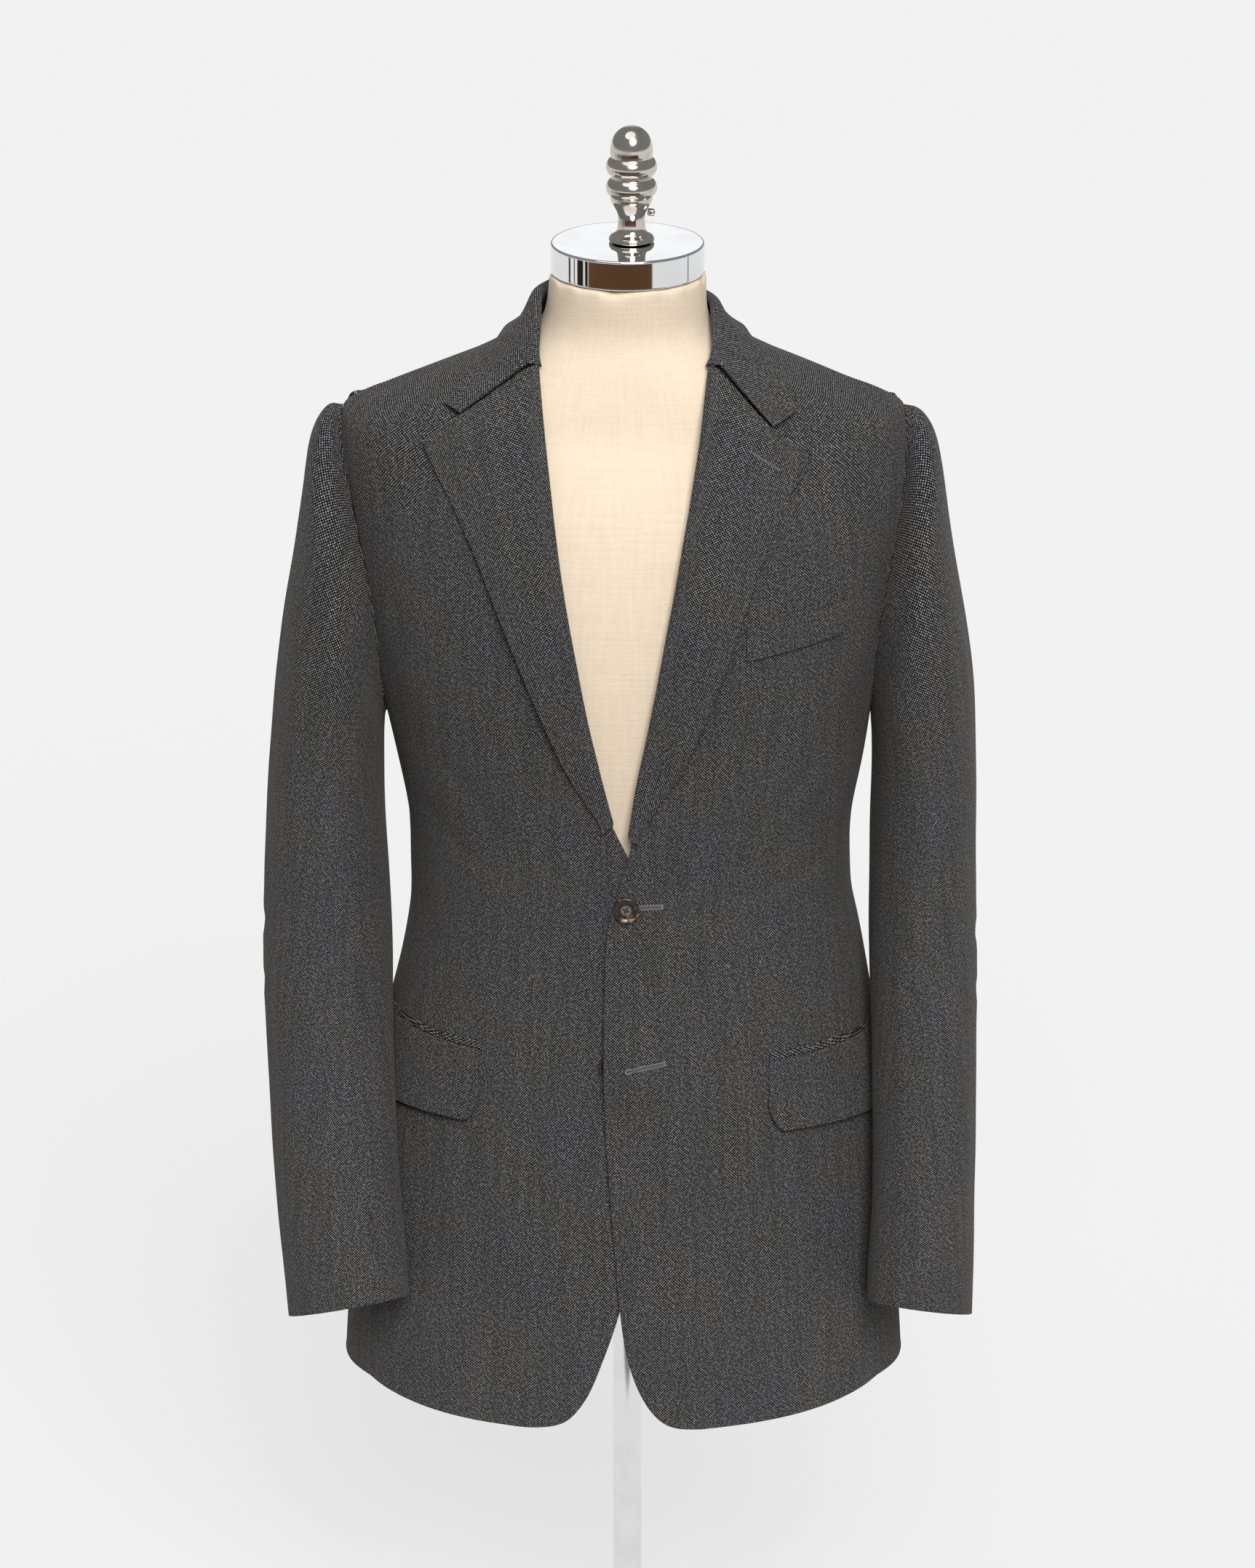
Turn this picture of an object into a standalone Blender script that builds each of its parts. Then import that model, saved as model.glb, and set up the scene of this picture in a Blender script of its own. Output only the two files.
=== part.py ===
"""Tweed jacket on a limbless dress form, every piece at its real size.

Metres, +Z up. -Y is the front, +X the wearer's left. The origin is the centre of the base's underside.
The jacket's surface is read from a table of level sections. Each cloth piece is a patch of that surface,
given a wall inwards, and what lies on a panel is the same surface moved out.
"""

import math

import bmesh
import bpy
import numpy as np

MM = 0.001

# Cloth and clearances
CLOTH = 2.0 * MM  # wall of a body or sleeve panel
FACING = 1.8 * MM  # wall of lapel and collar
FLAP_CLOTH = 2.0 * MM
JET_CLOTH = 1.4 * MM
HALF_SEAM = 0.20 * MM  # each panel stops this far short of its seam
SLEEVE_HALF_SEAM = 0.30 * MM
SLEEVE_START = 0.035  # where the sleeve's cloth starts after the armhole seam, in table rows
GORGE_GAP = 0.35 * MM  # the same for collar and lapel, whose ends bend
LAYER_GAP = 0.6 * MM  # between a panel and what lies on it
LAPEL_GAP = 1.0 * MM  # between a front and its lapel or the collar
FOLD_GAP = 0.70 * MM  # sleeve head proud of the armhole
WRAP_LIFT = 3.4 * MM  # the upper front and the upper vent edge ride this far out

# Dress form
BASE_RADIUS, BASE_HEIGHT = 0.160, 0.012
POLE_RADIUS = 0.011
FORM_BOTTOM = 0.430
NECK_TOP = 1.1422
CAP_RADIUS, CAP_HEIGHT, CAP_BEVEL = 0.0568, 0.0225, 0.0016
SEAT = 0.3 * MM  # between pieces of the form that rest on each other

# Jacket levels
HEM = 0.272
HEM_AT_SIDE = 0.279  # the hem rises a little over the hips
UNDERARM, SHOULDER_TIP = 0.800, 1.036
NECK_SEAM = 1.099
NECK_SEAM_BACK = 1.0965

# Level sections: height, half width, depth of the widest point, front and back at the centre line
SECTIONS = [
    # z      half    side_y  front_y  back_y  middle_x
    (0.250, 0.2160, 0.020, -0.1335, 0.140, -0.0030),
    (0.300, 0.2130, 0.020, -0.1330, 0.137, -0.0030),
    (0.400, 0.2065, 0.018, -0.1300, 0.130, -0.0015),
    (0.500, 0.1960, 0.015, -0.1260, 0.120, 0.0010),
    (0.570, 0.1830, 0.012, -0.1210, 0.108, 0.0030),
    (0.620, 0.1730, 0.010, -0.1175, 0.098, 0.0045),
    (0.670, 0.1660, 0.008, -0.1150, 0.091, 0.0026),
    (0.710, 0.1660, 0.008, -0.1165, 0.092, 0.0018),
    (0.757, 0.1735, 0.008, -0.1200, 0.099, 0.0024),
    (0.800, 0.1815, 0.008, -0.1235, 0.107, 0.0010),
    (0.840, 0.1910, 0.009, -0.1250, 0.114, 0.0000),
    (0.880, 0.1990, 0.010, -0.1245, 0.119, 0.0000),
    (0.920, 0.2060, 0.011, -0.1210, 0.122, 0.0000),
    (0.960, 0.2105, 0.012, -0.1140, 0.122, 0.0000),
    (1.000, 0.2125, 0.013, -0.1020, 0.117, -0.0020),
    (1.036, 0.2085, 0.014, -0.0885, 0.107, -0.0030),
    (1.0565, 0.1670, 0.013, -0.0790, 0.099, -0.0020),
    (1.0735, 0.1210, 0.011, -0.0715, 0.091, -0.0010),
    (1.0855, 0.0930, 0.008, -0.0665, 0.084, -0.0020),
    (1.099, 0.0745, 0.005, -0.0630, 0.076, -0.0018),
    (1.112, 0.0660, 0.002, -0.0600, 0.068, -0.0010),
    (1.130, 0.0610, 0.000, -0.0590, 0.061, 0.0000),
    (1.150, 0.0580, 0.000, -0.0580, 0.058, 0.0000),
]
ROUNDNESS = 2.08  # exponent of a section's curve, 2 being an ellipse

# How far the form lies inside the jacket's outer surface
FORM_INSET = [
    # z      inset
    (0.430, 0.0120),
    (0.670, 0.0090),
    (0.800, 0.0085),
    (0.920, 0.0080),
    (1.000, 0.0085),
    (1.036, 0.0085),
    (1.057, 0.0050),
    (1.085, 0.0043),
    (1.099, 0.0075),
    (1.114, 0.0062),
    (1.132, 0.0020),
    (1.150, 0.0000),
]

# Soft folds of the body: a line from one place to another on the surface, and how deep and wide it is
BODY_FOLDS = [
    # angle  z      angle  z      width  depth
    (66.0, 0.930, 58.0, 0.700, 0.016, -0.0022),
    (-67.0, 0.920, -60.0, 0.720, 0.015, -0.0018),
    (48.0, 0.640, 30.0, 0.590, 0.014, 0.0014),
    (-52.0, 0.650, -30.0, 0.600, 0.014, 0.0014),
    (62.0, 0.480, 57.0, 0.300, 0.022, 0.0030),
    (-62.0, 0.470, -58.0, 0.300, 0.022, 0.0026),
    (112.0, 0.760, 122.0, 0.620, 0.018, -0.0030),
    (-112.0, 0.750, -121.0, 0.610, 0.018, -0.0026),
    (150.0, 0.700, 156.0, 0.560, 0.020, -0.0022),
    (-149.0, 0.690, -156.0, 0.570, 0.020, -0.0020),
    (126.0, 0.470, 122.0, 0.290, 0.026, 0.0034),
    (-127.0, 0.480, -122.0, 0.290, 0.026, 0.0032),
    (140.0, 0.960, 130.0, 0.860, 0.018, -0.0024),
    (-140.0, 0.950, -130.0, 0.860, 0.018, -0.0022),
]
FOLD_ARC = 0.0029  # metres of cloth for each degree round the body, for measuring across a fold

# Front edges, from the lowest point of the cutaway up to where the lapel starts to roll
FRONT_EDGE = {
    "left": [
        # edge x  edge z
        (0.0560, 0.2690),
        (0.0340, 0.2725),
        (0.0195, 0.2835),
        (0.0085, 0.3020),
        (-0.0005, 0.3300),
        (-0.0062, 0.3700),
        (-0.0105, 0.4270),
        (-0.0140, 0.4720),
        (-0.0165, 0.5180),
        (-0.0172, 0.5560),
        (-0.0172, 0.5930),
        (-0.0168, 0.6280),
        (-0.0150, 0.6620),
        (-0.0110, 0.6840),
        (-0.0060, 0.7020),
        (0.0010, 0.7260),
    ],
    "right": [
        (0.0740, 0.2690),
        (0.0520, 0.2730),
        (0.0385, 0.2840),
        (0.0275, 0.3020),
        (0.0170, 0.3300),
        (0.0045, 0.3700),
        (-0.0060, 0.4270),
        (-0.0100, 0.4720),
        (-0.0130, 0.5180),
        (-0.0142, 0.5560),
        (-0.0149, 0.5930),
        (-0.0148, 0.6280),
        (-0.0140, 0.6620),
        (-0.0115, 0.6840),
        (-0.0077, 0.7020),
        (-0.0010, 0.7230),
    ],
}
# Heights of the rows of cloth up the front's side seam
SEAM_LEVELS = (0.279, 0.286, 0.298, 0.316, 0.342, 0.378, 0.431, 0.474, 0.519, 0.557, 0.594, 0.629, 0.663,
               0.685, 0.703, 0.726, 0.757, 0.795, 0.840)

# Lapels, from the bottom of the roll up to the gorge. Past the gorge's vertex comes the notch
LAPELS = {
    "left": [
        # roll x  roll z  edge x  edge z
        (0.0035, 0.7520, 0.0130, 0.7460),
        (0.0085, 0.7850, 0.0330, 0.7800),
        (0.0180, 0.8330, 0.0590, 0.8380),
        (0.0285, 0.8900, 0.0810, 0.9000),
        (0.0385, 0.9450, 0.0985, 0.9500),
        (0.0470, 0.9920, 0.1160, 0.9900),
        (0.0540, 1.0350, 0.1285, 1.0080),
        (0.0600, 1.0830, 0.1340, 1.0220),
    ],
    "right": [
        (0.0127, 0.7580, 0.0230, 0.7520),
        (0.0197, 0.7850, 0.0400, 0.7820),
        (0.0305, 0.8330, 0.0650, 0.8380),
        (0.0413, 0.8900, 0.0900, 0.9000),
        (0.0505, 0.9450, 0.1100, 0.9500),
        (0.0565, 0.9920, 0.1290, 0.9900),
        (0.0615, 1.0350, 0.1430, 1.0150),
        (0.0660, 1.0830, 0.1500, 1.0310),
    ],
}
GORGE = {
    # vertex x, z; collar end x, z
    "left": (0.1060, 1.0420, 0.1240, 1.0500),
    "right": (0.1220, 1.0490, 0.1340, 1.0535),
}

# A lapel's section at the roll, out from the line that it turns on: across, and proud of the panel
ROLL_SECTION = [
    # across  proud
    (-0.0006, -0.0014),
    (-0.0016, 0.0012),
    (0.0004, 0.0046),
    (0.0036, 0.0062),
    (0.0095, 0.0058),
]
ROLL_CLEAR = 2.6 * MM  # the front's own edge stops this far from the roll line

NECK_EDGE = ((0.0700, 1.0890), (0.0725, 1.0935), (0.0745, 1.0970))  # front's neck seam above the roll: x, z

# Collar, from the gorge round to the centre back: stand seam, fold and outer edge
COLLAR = [
    # seam: x      y      z    fold: x      y      z     edge: angle  z
    (0.0708, -0.0330, 1.0910, 0.0645, -0.0290, 1.1070, 70.0, 1.0775),
    (0.0722, 0.0040, 1.1010, 0.0645, 0.0050, 1.1205, 90.0, 1.0870),
    (0.0655, 0.0370, 1.1010, 0.0550, 0.0345, 1.1210, 122.0, 1.0865),
    (0.0420, 0.0640, 1.1000, 0.0360, 0.0570, 1.1230, 152.0, 1.0810),
    (0.0000, 0.0750, 1.0990, 0.0000, 0.0670, 1.1250, 180.0, 1.0775),
]
COLLAR_LEAN = (-0.0015, -0.050)  # the fold stands this far to the right, and slopes up to that side
COLLAR_CLEAR = 2.1 * MM  # between the collar's fall and the panels under it
FOLD_RADIUS = 3.1 * MM
COLLAR_BULGE = -2.8 * MM  # the fall curves in a little on its way down to the shoulder

# Seams round the body, as angles from the centre front
SIDE_SEAM = (64.0, 66.5)  # at the hem, at the armhole
BACK_SEAM = (118.0, 112.0)
ARMHOLE_MIDDLE, ARMHOLE_FRONT, ARMHOLE_BACK = 0.905, 20.5, 26.0
SIDE_SEAM_AT, BACK_SEAM_AT = 128.0, -125.0  # where on the armhole, from its top round by the front

# Centre vent: below this height the right back reaches across the centre, under the left one
VENT_TOP, VENT_OVERLAP = 0.500, 0.036

# Sleeves, from the armhole to the cuff: the outer and inner lines, the middle's depth and half depth
SLEEVES = {
    "left": [
        # outer x  outer z  inner x  inner z  middle_y half_depth
        (0.2065, 1.0360, 0.1815, 0.8000, 0.012, 0.070),
        (0.2165, 1.0335, 0.1818, 0.7980, 0.010, 0.073),
        (0.2285, 1.0180, 0.1824, 0.7950, 0.008, 0.076),
        (0.2345, 0.9900, 0.1830, 0.7890, 0.006, 0.079),
        (0.2410, 0.9450, 0.1836, 0.7800, 0.004, 0.080),
        (0.2506, 0.8900, 0.1838, 0.7640, 0.002, 0.079),
        (0.2592, 0.8280, 0.1834, 0.7400, -0.001, 0.076),
        (0.2622, 0.7600, 0.1826, 0.7060, -0.007, 0.072),
        (0.2626, 0.6850, 0.1822, 0.6520, -0.016, 0.067),
        (0.2634, 0.6080, 0.1828, 0.5870, -0.030, 0.062),
        (0.2636, 0.5300, 0.1840, 0.5200, -0.047, 0.057),
        (0.2628, 0.4500, 0.1850, 0.4500, -0.064, 0.053),
        (0.2624, 0.3870, 0.1830, 0.3950, -0.077, 0.050),
        (0.2614, 0.3450, 0.1815, 0.3560, -0.084, 0.049),
    ],
    "right": [
        (0.2110, 1.0360, 0.1815, 0.8000, 0.012, 0.070),
        (0.2220, 1.0370, 0.1818, 0.7980, 0.010, 0.073),
        (0.2350, 1.0150, 0.1822, 0.7950, 0.008, 0.076),
        (0.2400, 0.9870, 0.1826, 0.7890, 0.006, 0.079),
        (0.2462, 0.9450, 0.1830, 0.7800, 0.004, 0.080),
        (0.2555, 0.8900, 0.1832, 0.7640, 0.002, 0.079),
        (0.2636, 0.8280, 0.1830, 0.7400, -0.001, 0.076),
        (0.2694, 0.7600, 0.1815, 0.7060, -0.007, 0.072),
        (0.2734, 0.6850, 0.1784, 0.6520, -0.016, 0.067),
        (0.2744, 0.6080, 0.1765, 0.5870, -0.030, 0.062),
        (0.2712, 0.5300, 0.1745, 0.5200, -0.048, 0.057),
        (0.2668, 0.4500, 0.1715, 0.4550, -0.066, 0.053),
        (0.2612, 0.3870, 0.1670, 0.4000, -0.079, 0.050),
        (0.2572, 0.3440, 0.1635, 0.3620, -0.086, 0.049),
    ],
}
SLEEVE_SEAMS = (118.0, -112.0)  # front and back seams, as angles round the sleeve from its outer line
SLEEVE_CLEAR = [
    # z      clearance from the body, flaps included
    (0.300, 0.0052),
    (0.620, 0.0052),
    (0.700, 0.0016),
    (0.790, 0.0010),
    (0.810, 0.0000),
]
ARM_CLEAR_BELOW = 0.795
SLEEVE_FOLDS = [
    # along    round   width  depth: along in table rows from the armhole, round in degrees
    (8.2, 95.0, 0.016, -0.0032),
    (9.0, 70.0, 0.014, 0.0020),
    (8.8, -80.0, 0.018, 0.0026),
    (6.4, 60.0, 0.018, -0.0018),
    (4.6, -60.0, 0.020, -0.0022),
]
CUFF_TILT = 0.34  # the cuff slopes up to its front by this much
CUFF_TILT_FROM, CUFF_TILT_OVER = 8.0, 4.0  # where on the sleeve that slope begins, in table rows
FOLD_SLANT = 0.012  # a sleeve fold's fall along the sleeve for each 57 degrees round it

# Pockets
WELT = {"x": 0.0870, "z": 0.9000, "width": 0.082, "rise": 0.0110, "height": 0.024}
POCKETS = {
    "left": {"x": 0.1055, "z": 0.5580, "rise": -0.002},
    "right": {"x": 0.1110, "z": 0.5645, "rise": 0.003},
}
FLAP = {"width": 0.140, "height": 0.055, "corner": 0.016, "slant": 0.006, "flare": 1.2 * MM}
JET_HEIGHT = 5.5 * MM

# Buttons
BUTTON_RADIUS, BUTTON_HEIGHT, BUTTON_RIM, BUTTON_DISH = 0.010, 0.0036, 0.0022, 0.0009
BUTTON_HOLE, BUTTON_HOLE_AT = 0.00085, 0.0019
TOP_BUTTON = (-0.0010, 0.6843)
LOWER_BUTTON = (-0.0115, 0.5600)
BUTTON_BUMP, BUTTON_BUMP_WIDTH = 5.6 * MM, 0.026  # the upper front's rise over the lower button

# Finial, turned: radius and height over the neck cap
FINIAL = [
    (0.0165, 0.0000),
    (0.0168, 0.0030),
    (0.0125, 0.0060),
    (0.0102, 0.0110),
    (0.0102, 0.0200),
    (0.0125, 0.0260),
    (0.0155, 0.0320),
    (0.0160, 0.0350),
    (0.0186, 0.0385),
    (0.0190, 0.0415),
    (0.0178, 0.0450),
    (0.0152, 0.0490),
    (0.0182, 0.0535),
    (0.0190, 0.0570),
    (0.0182, 0.0605),
    (0.0156, 0.0640),
    (0.0158, 0.0700),
    (0.0146, 0.0770),
    (0.0110, 0.0830),
    (0.0060, 0.0865),
]
FINIAL_TOP = 0.0878
FINIAL_X = 0.0030  # its rod stands a little off the cap's centre
# The form is hollowed a little under the collar bones: how deep in front and behind, at what height, how tall
BONE_HOLLOW = (0.0055, 0.0030, 1.045, 0.036)
SCREW_RADIUS, SCREW_REACH, SCREW_HEIGHT = 0.0028, 0.0150, 0.0235

# Fineness
FRONT_COLUMNS, SIDE_COLUMNS, NECK_COLUMNS, BACK_ARM_ROWS = 10, 5, 3, 8
SLEEVE_ROWS, SLEEVE_TOP_COLUMNS, SLEEVE_UNDER_COLUMNS = 20, 12, 6
LAPEL_ROWS, COLLAR_ROWS = 15, 31
FORM_ROUND, FORM_ROWS = 32, 24
TURNED_ROUND, CAP_ROUND = 20, 32

SIDES = {"left": 1.0, "right": -1.0}


# ---------------------------------------------------------------- tables and curves


def smooth_read(table, column, at):
    """Reads a column at the given places, on a smooth curve that never swings past its points."""
    keys = np.array([row[0] for row in table])
    values = np.array([row[column] for row in table])
    steps = np.diff(keys)
    slopes = np.diff(values) / steps
    tangents = np.concatenate([[slopes[0]], (slopes[1:] + slopes[:-1]) / 2, [slopes[-1]]])
    turning = np.concatenate([[False], slopes[1:] * slopes[:-1] <= 0, [False]])
    tangents[turning] = 0.0
    limit = 3 * np.minimum(
        np.abs(np.concatenate([[slopes[0]], slopes])), np.abs(np.concatenate([slopes, [slopes[-1]]]))
    )
    tangents = np.clip(tangents, -limit, limit)
    at = np.clip(np.asarray(at, float), keys[0], keys[-1])
    i = np.clip(np.searchsorted(keys, at, side="right") - 1, 0, len(keys) - 2)
    t = (at - keys[i]) / steps[i]
    return (
        values[i] * (1 + 2 * t) * (1 - t) ** 2
        + tangents[i] * steps[i] * t * (1 - t) ** 2
        + values[i + 1] * t * t * (3 - 2 * t)
        + tangents[i + 1] * steps[i] * t * t * (t - 1)
    )


def rise(t):
    """0 to 1 with soft ends."""
    t = np.clip(t, 0, 1)
    return t * t * (3 - 2 * t)


def unit(vectors):
    return vectors / np.linalg.norm(vectors, axis=-1, keepdims=True)


# ---------------------------------------------------------------- the jacket's surface


def plain_surface(angle, z, grow=0.0):
    """The jacket's outer surface before folds. Angle in degrees from the centre front, + to the left."""
    angle, z = np.broadcast_arrays(np.asarray(angle, float), np.asarray(z, float))
    half, side_y, front_y, back_y, middle_x = (smooth_read(SECTIONS, column, z) for column in range(1, 6))
    sine, cosine = np.sin(np.radians(angle)), np.cos(np.radians(angle))
    power = 2 / ROUNDNESS
    x = middle_x + np.sign(sine) * (half + grow) * np.abs(sine) ** power
    reach = np.where(cosine > 0, side_y - front_y, back_y - side_y) + grow
    y = side_y - np.sign(cosine) * reach * np.abs(cosine) ** power
    return np.stack([x, y, z], axis=-1)


def body_folds(angle, z):
    """How far the folds move the surface out."""
    total = np.zeros(np.broadcast(angle, z).shape)
    for angle_a, z_a, angle_b, z_b, width, depth in BODY_FOLDS:
        start = np.array([angle_a * FOLD_ARC, z_a])
        along = np.array([angle_b * FOLD_ARC, z_b]) - start
        place = np.stack(np.broadcast_arrays(angle * FOLD_ARC, z), axis=-1) - start
        t = np.clip(place @ along / (along @ along), 0, 1)
        off = np.linalg.norm(place - t[..., None] * along, axis=-1)
        total = total + depth * np.exp(-((off / width) ** 2)) * (0.35 + 0.65 * np.sin(np.pi * t) ** 2)
    return total


def surface(angle, z, out=0.0):
    """A point of the jacket's outer surface, moved out along the surface's own normal."""
    angle, z = np.broadcast_arrays(np.asarray(angle, float), np.asarray(z, float))
    step_angle, step_z = 0.2, 0.0004
    round_way = plain_surface(angle + step_angle, z) - plain_surface(angle - step_angle, z)
    up_way = plain_surface(angle, z + step_z) - plain_surface(angle, z - step_z)
    normal = unit(np.cross(round_way, up_way))
    return plain_surface(angle, z) + normal * (out + body_folds(angle, z))[..., None], normal


def angle_at(x, z, back=False):
    """The angle of a point of the front, or back, given how far it is from the centre."""
    off = np.asarray(x, float) - smooth_read(SECTIONS, 5, z)
    share = np.clip(np.abs(off) / smooth_read(SECTIONS, 1, z), 0, 1)
    angle = np.degrees(np.arcsin(share ** (ROUNDNESS / 2)))
    return np.sign(off) * (180 - angle if back else angle)


def angle_after(x, z, distance, side):
    """The angle reached by going this far round the surface from a point of the front."""
    angles = np.linspace(0, 150, 151)
    ring = plain_surface(angles, z)
    length = np.concatenate([[0], np.cumsum(np.linalg.norm(np.diff(ring, axis=0), axis=1))])
    start = np.interp(abs(float(angle_at(SIDES[side] * x, z))), angles, length)
    return SIDES[side] * np.interp(start + distance, length, angles)


def front_lift(x, z):
    """How far the left front rides out, over the right front and the lower button."""
    across = rise((0.078 - x) / 0.055)
    wrap = WRAP_LIFT * across * (1 - rise((z - 0.742) / 0.05))
    bump = BUTTON_BUMP * np.exp(-(((z - LOWER_BUTTON[1]) / BUTTON_BUMP_WIDTH) ** 2))
    return wrap + bump * rise((0.040 - x) / 0.040)


def vent_lift(x, z):
    """How far the left back rides out, over the right back at the vent."""
    return WRAP_LIFT * rise((0.085 - x) / 0.045) * (1 - rise((z - VENT_TOP - 0.035) / 0.05))


def front_place(side, x, z, out=0.0):
    """A point on a front, x being its distance from the centre on that front's own side."""
    lift = front_lift(x, z) if side == "left" else 0.0
    return surface(angle_at(SIDES[side] * x, z), z, out + lift)


def armhole(turn):
    """Angle and height of the armhole seam, turn being 0 at its top and 90 at its front."""
    turn = np.radians(np.asarray(turn, float))
    up = np.cos(turn)
    z = ARMHOLE_MIDDLE + np.where(up > 0, SHOULDER_TIP - ARMHOLE_MIDDLE, ARMHOLE_MIDDLE - UNDERARM) * up
    width = np.where(np.sin(turn) > 0, -ARMHOLE_FRONT, ARMHOLE_BACK)
    narrow = 1 - 0.22 * np.clip(up, 0, 1)
    return 90 + width * np.abs(np.sin(turn)) * narrow, z


# ---------------------------------------------------------------- solids from grids


def material(name, colour, roughness, metallic=0.0):
    made = bpy.data.materials.get(name) or bpy.data.materials.new(name)
    made.use_nodes = True
    shader = made.node_tree.nodes["Principled BSDF"]
    shader.inputs["Base Color"].default_value = (*colour, 1)
    shader.inputs["Roughness"].default_value = roughness
    shader.inputs["Metallic"].default_value = metallic
    return made


MATERIALS = {
    "tweed": ("tweed", (0.075, 0.075, 0.082), 0.95, 0.0),
    "linen": ("linen", (0.800, 0.690, 0.540), 0.85, 0.0),
    "chrome": ("chrome", (0.780, 0.780, 0.790), 0.12, 1.0),
    "nickel": ("nickel", (0.620, 0.590, 0.550), 0.22, 1.0),
    "horn": ("horn", (0.030, 0.020, 0.014), 0.30, 0.0),
}


def add_object(name, bm, slot):
    bmesh.ops.remove_doubles(bm, verts=bm.verts, dist=1e-7)
    if bm.calc_volume(signed=True) < 0:
        bmesh.ops.reverse_faces(bm, faces=bm.faces)
    mesh = bpy.data.meshes.new(name)
    bm.to_mesh(mesh)
    bm.free()
    mesh.materials.append(material(*MATERIALS[slot]))
    mesh.shade_smooth()
    mesh.set_sharp_from_angle(angle=math.radians(40))
    made = bpy.data.objects.new(name, mesh)
    bpy.context.scene.collection.objects.link(made)
    return made


def grid_normals(grid):
    rows = np.gradient(grid, axis=0)
    columns = np.gradient(grid, axis=1)
    return unit(np.cross(columns, rows))


def trim(grid, amount=HALF_SEAM):
    """Draws a grid's four edges in, so that it stops short of its seams."""
    grid = grid.copy()
    for edge, inner in ((0, 1), (-1, -2)):
        grid[edge] += unit(grid[inner] - grid[edge]) * amount
    for edge, inner in ((0, 1), (-1, -2)):
        grid[:, edge] += unit(grid[:, inner] - grid[:, edge]) * amount
    return grid


def wall(name, outer, inner, slot):
    """The closed solid between two grids of points."""
    rows, columns = outer.shape[:2]
    bm = bmesh.new()
    shells = [
        [[bm.verts.new(point) for point in row] for row in grid.reshape(rows, columns, 3)]
        for grid in (outer, inner)
    ]
    for shell, flip in zip(shells, (False, True)):
        for r in range(rows - 1):
            for c in range(columns - 1):
                corners = [shell[r][c], shell[r][c + 1], shell[r + 1][c + 1], shell[r + 1][c]]
                bm.faces.new(corners[::-1] if flip else corners)
    rim = [(0, c) for c in range(columns)] + [(r, columns - 1) for r in range(1, rows)]
    rim += [(rows - 1, c) for c in range(columns - 2, -1, -1)] + [(r, 0) for r in range(rows - 2, 0, -1)]
    for (r, c), (r2, c2) in zip(rim, rim[1:] + rim[:1]):
        bm.faces.new([shells[0][r2][c2], shells[0][r][c], shells[1][r][c], shells[1][r2][c2]])
    return add_object(name, bm, slot)


def coons(bottom, top, left, right):
    """A grid of (angle, z) places between four edges, each given as places in order."""
    rows, columns = len(left), len(bottom)
    u = np.linspace(0, 1, columns)[None, :, None]
    w = np.linspace(0, 1, rows)[:, None, None]
    across = (1 - w) * bottom[None] + w * top[None]
    upward = (1 - u) * left[:, None] + u * right[:, None]
    corners = (1 - w) * ((1 - u) * bottom[0] + u * bottom[-1]) + w * ((1 - u) * top[0] + u * top[-1])
    return across + upward - corners


def body_panel(name, places, lift=None):
    """A panel of the body from its grid of (angle, z) places."""
    angle, z = places[..., 0], places[..., 1]
    out = 0.0 if lift is None else lift(plain_surface(angle, z)[..., 0], z)
    outer, normal = surface(angle, z, out)
    inner, _ = surface(angle, z, out - CLOTH)
    return wall(name, trim(outer), trim(inner), "tweed")


# ---------------------------------------------------------------- jacket pieces


def seam_places(seam, arm_turn, hem):
    """(angle, z) places up a side seam, from the hem to the armhole."""
    levels = np.array(SEAM_LEVELS)
    share = (levels - levels[0]) / (levels[-1] - levels[0])
    top_angle, top_z = (float(value) for value in armhole(arm_turn))
    angles = seam[0] + (top_angle - seam[0]) * rise(share) ** 1.5
    return np.stack([angles, hem + (top_z - hem) * share], axis=-1)


def front(side):
    sign = SIDES[side]
    edge = [(sign * x, z) for x, z in FRONT_EDGE[side]]
    lapel = [(sign * (x + ROLL_CLEAR), z) for x, z, _, _ in LAPELS[side]]
    neck = [(sign * x, z) for x, z in NECK_EDGE]
    left = np.array([(float(angle_at(x, z)), z) for x, z in edge + lapel + neck] + [(sign * 90.0, NECK_SEAM)])
    up_seam = seam_places(SIDE_SEAM, SIDE_SEAM_AT, HEM_AT_SIDE)
    turns = np.linspace(SIDE_SEAM_AT, 0, len(left) - len(up_seam) + 1)[1:]
    right = np.concatenate([up_seam, np.stack(armhole(turns), axis=-1)]) * (sign, 1)
    share = np.linspace(0, 1, FRONT_COLUMNS)[:, None]
    bottom = left[0] + (right[0] - left[0]) * share
    bottom[:, 1] = left[0][1] + (right[0][1] - left[0][1]) * share[:, 0] ** 2.2
    top = left[-1] + (right[-1] - left[-1]) * share
    places = coons(bottom, top, left, right)
    return body_panel("front_" + side, places, front_lift if side == "left" else None)


def side_body(side):
    edges = [seam_places(SIDE_SEAM, SIDE_SEAM_AT, HEM_AT_SIDE), seam_places(BACK_SEAM, BACK_SEAM_AT, HEM)]
    turns = np.linspace(SIDE_SEAM_AT, 360 + BACK_SEAM_AT, SIDE_COLUMNS)
    top = np.stack(armhole(turns), axis=-1)
    bottom = edges[0][0] + (edges[1][0] - edges[0][0]) * np.linspace(0, 1, SIDE_COLUMNS)[:, None]
    places = coons(bottom, top, *edges) * (SIDES[side], 1)
    return body_panel("side_" + side, places)


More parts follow.
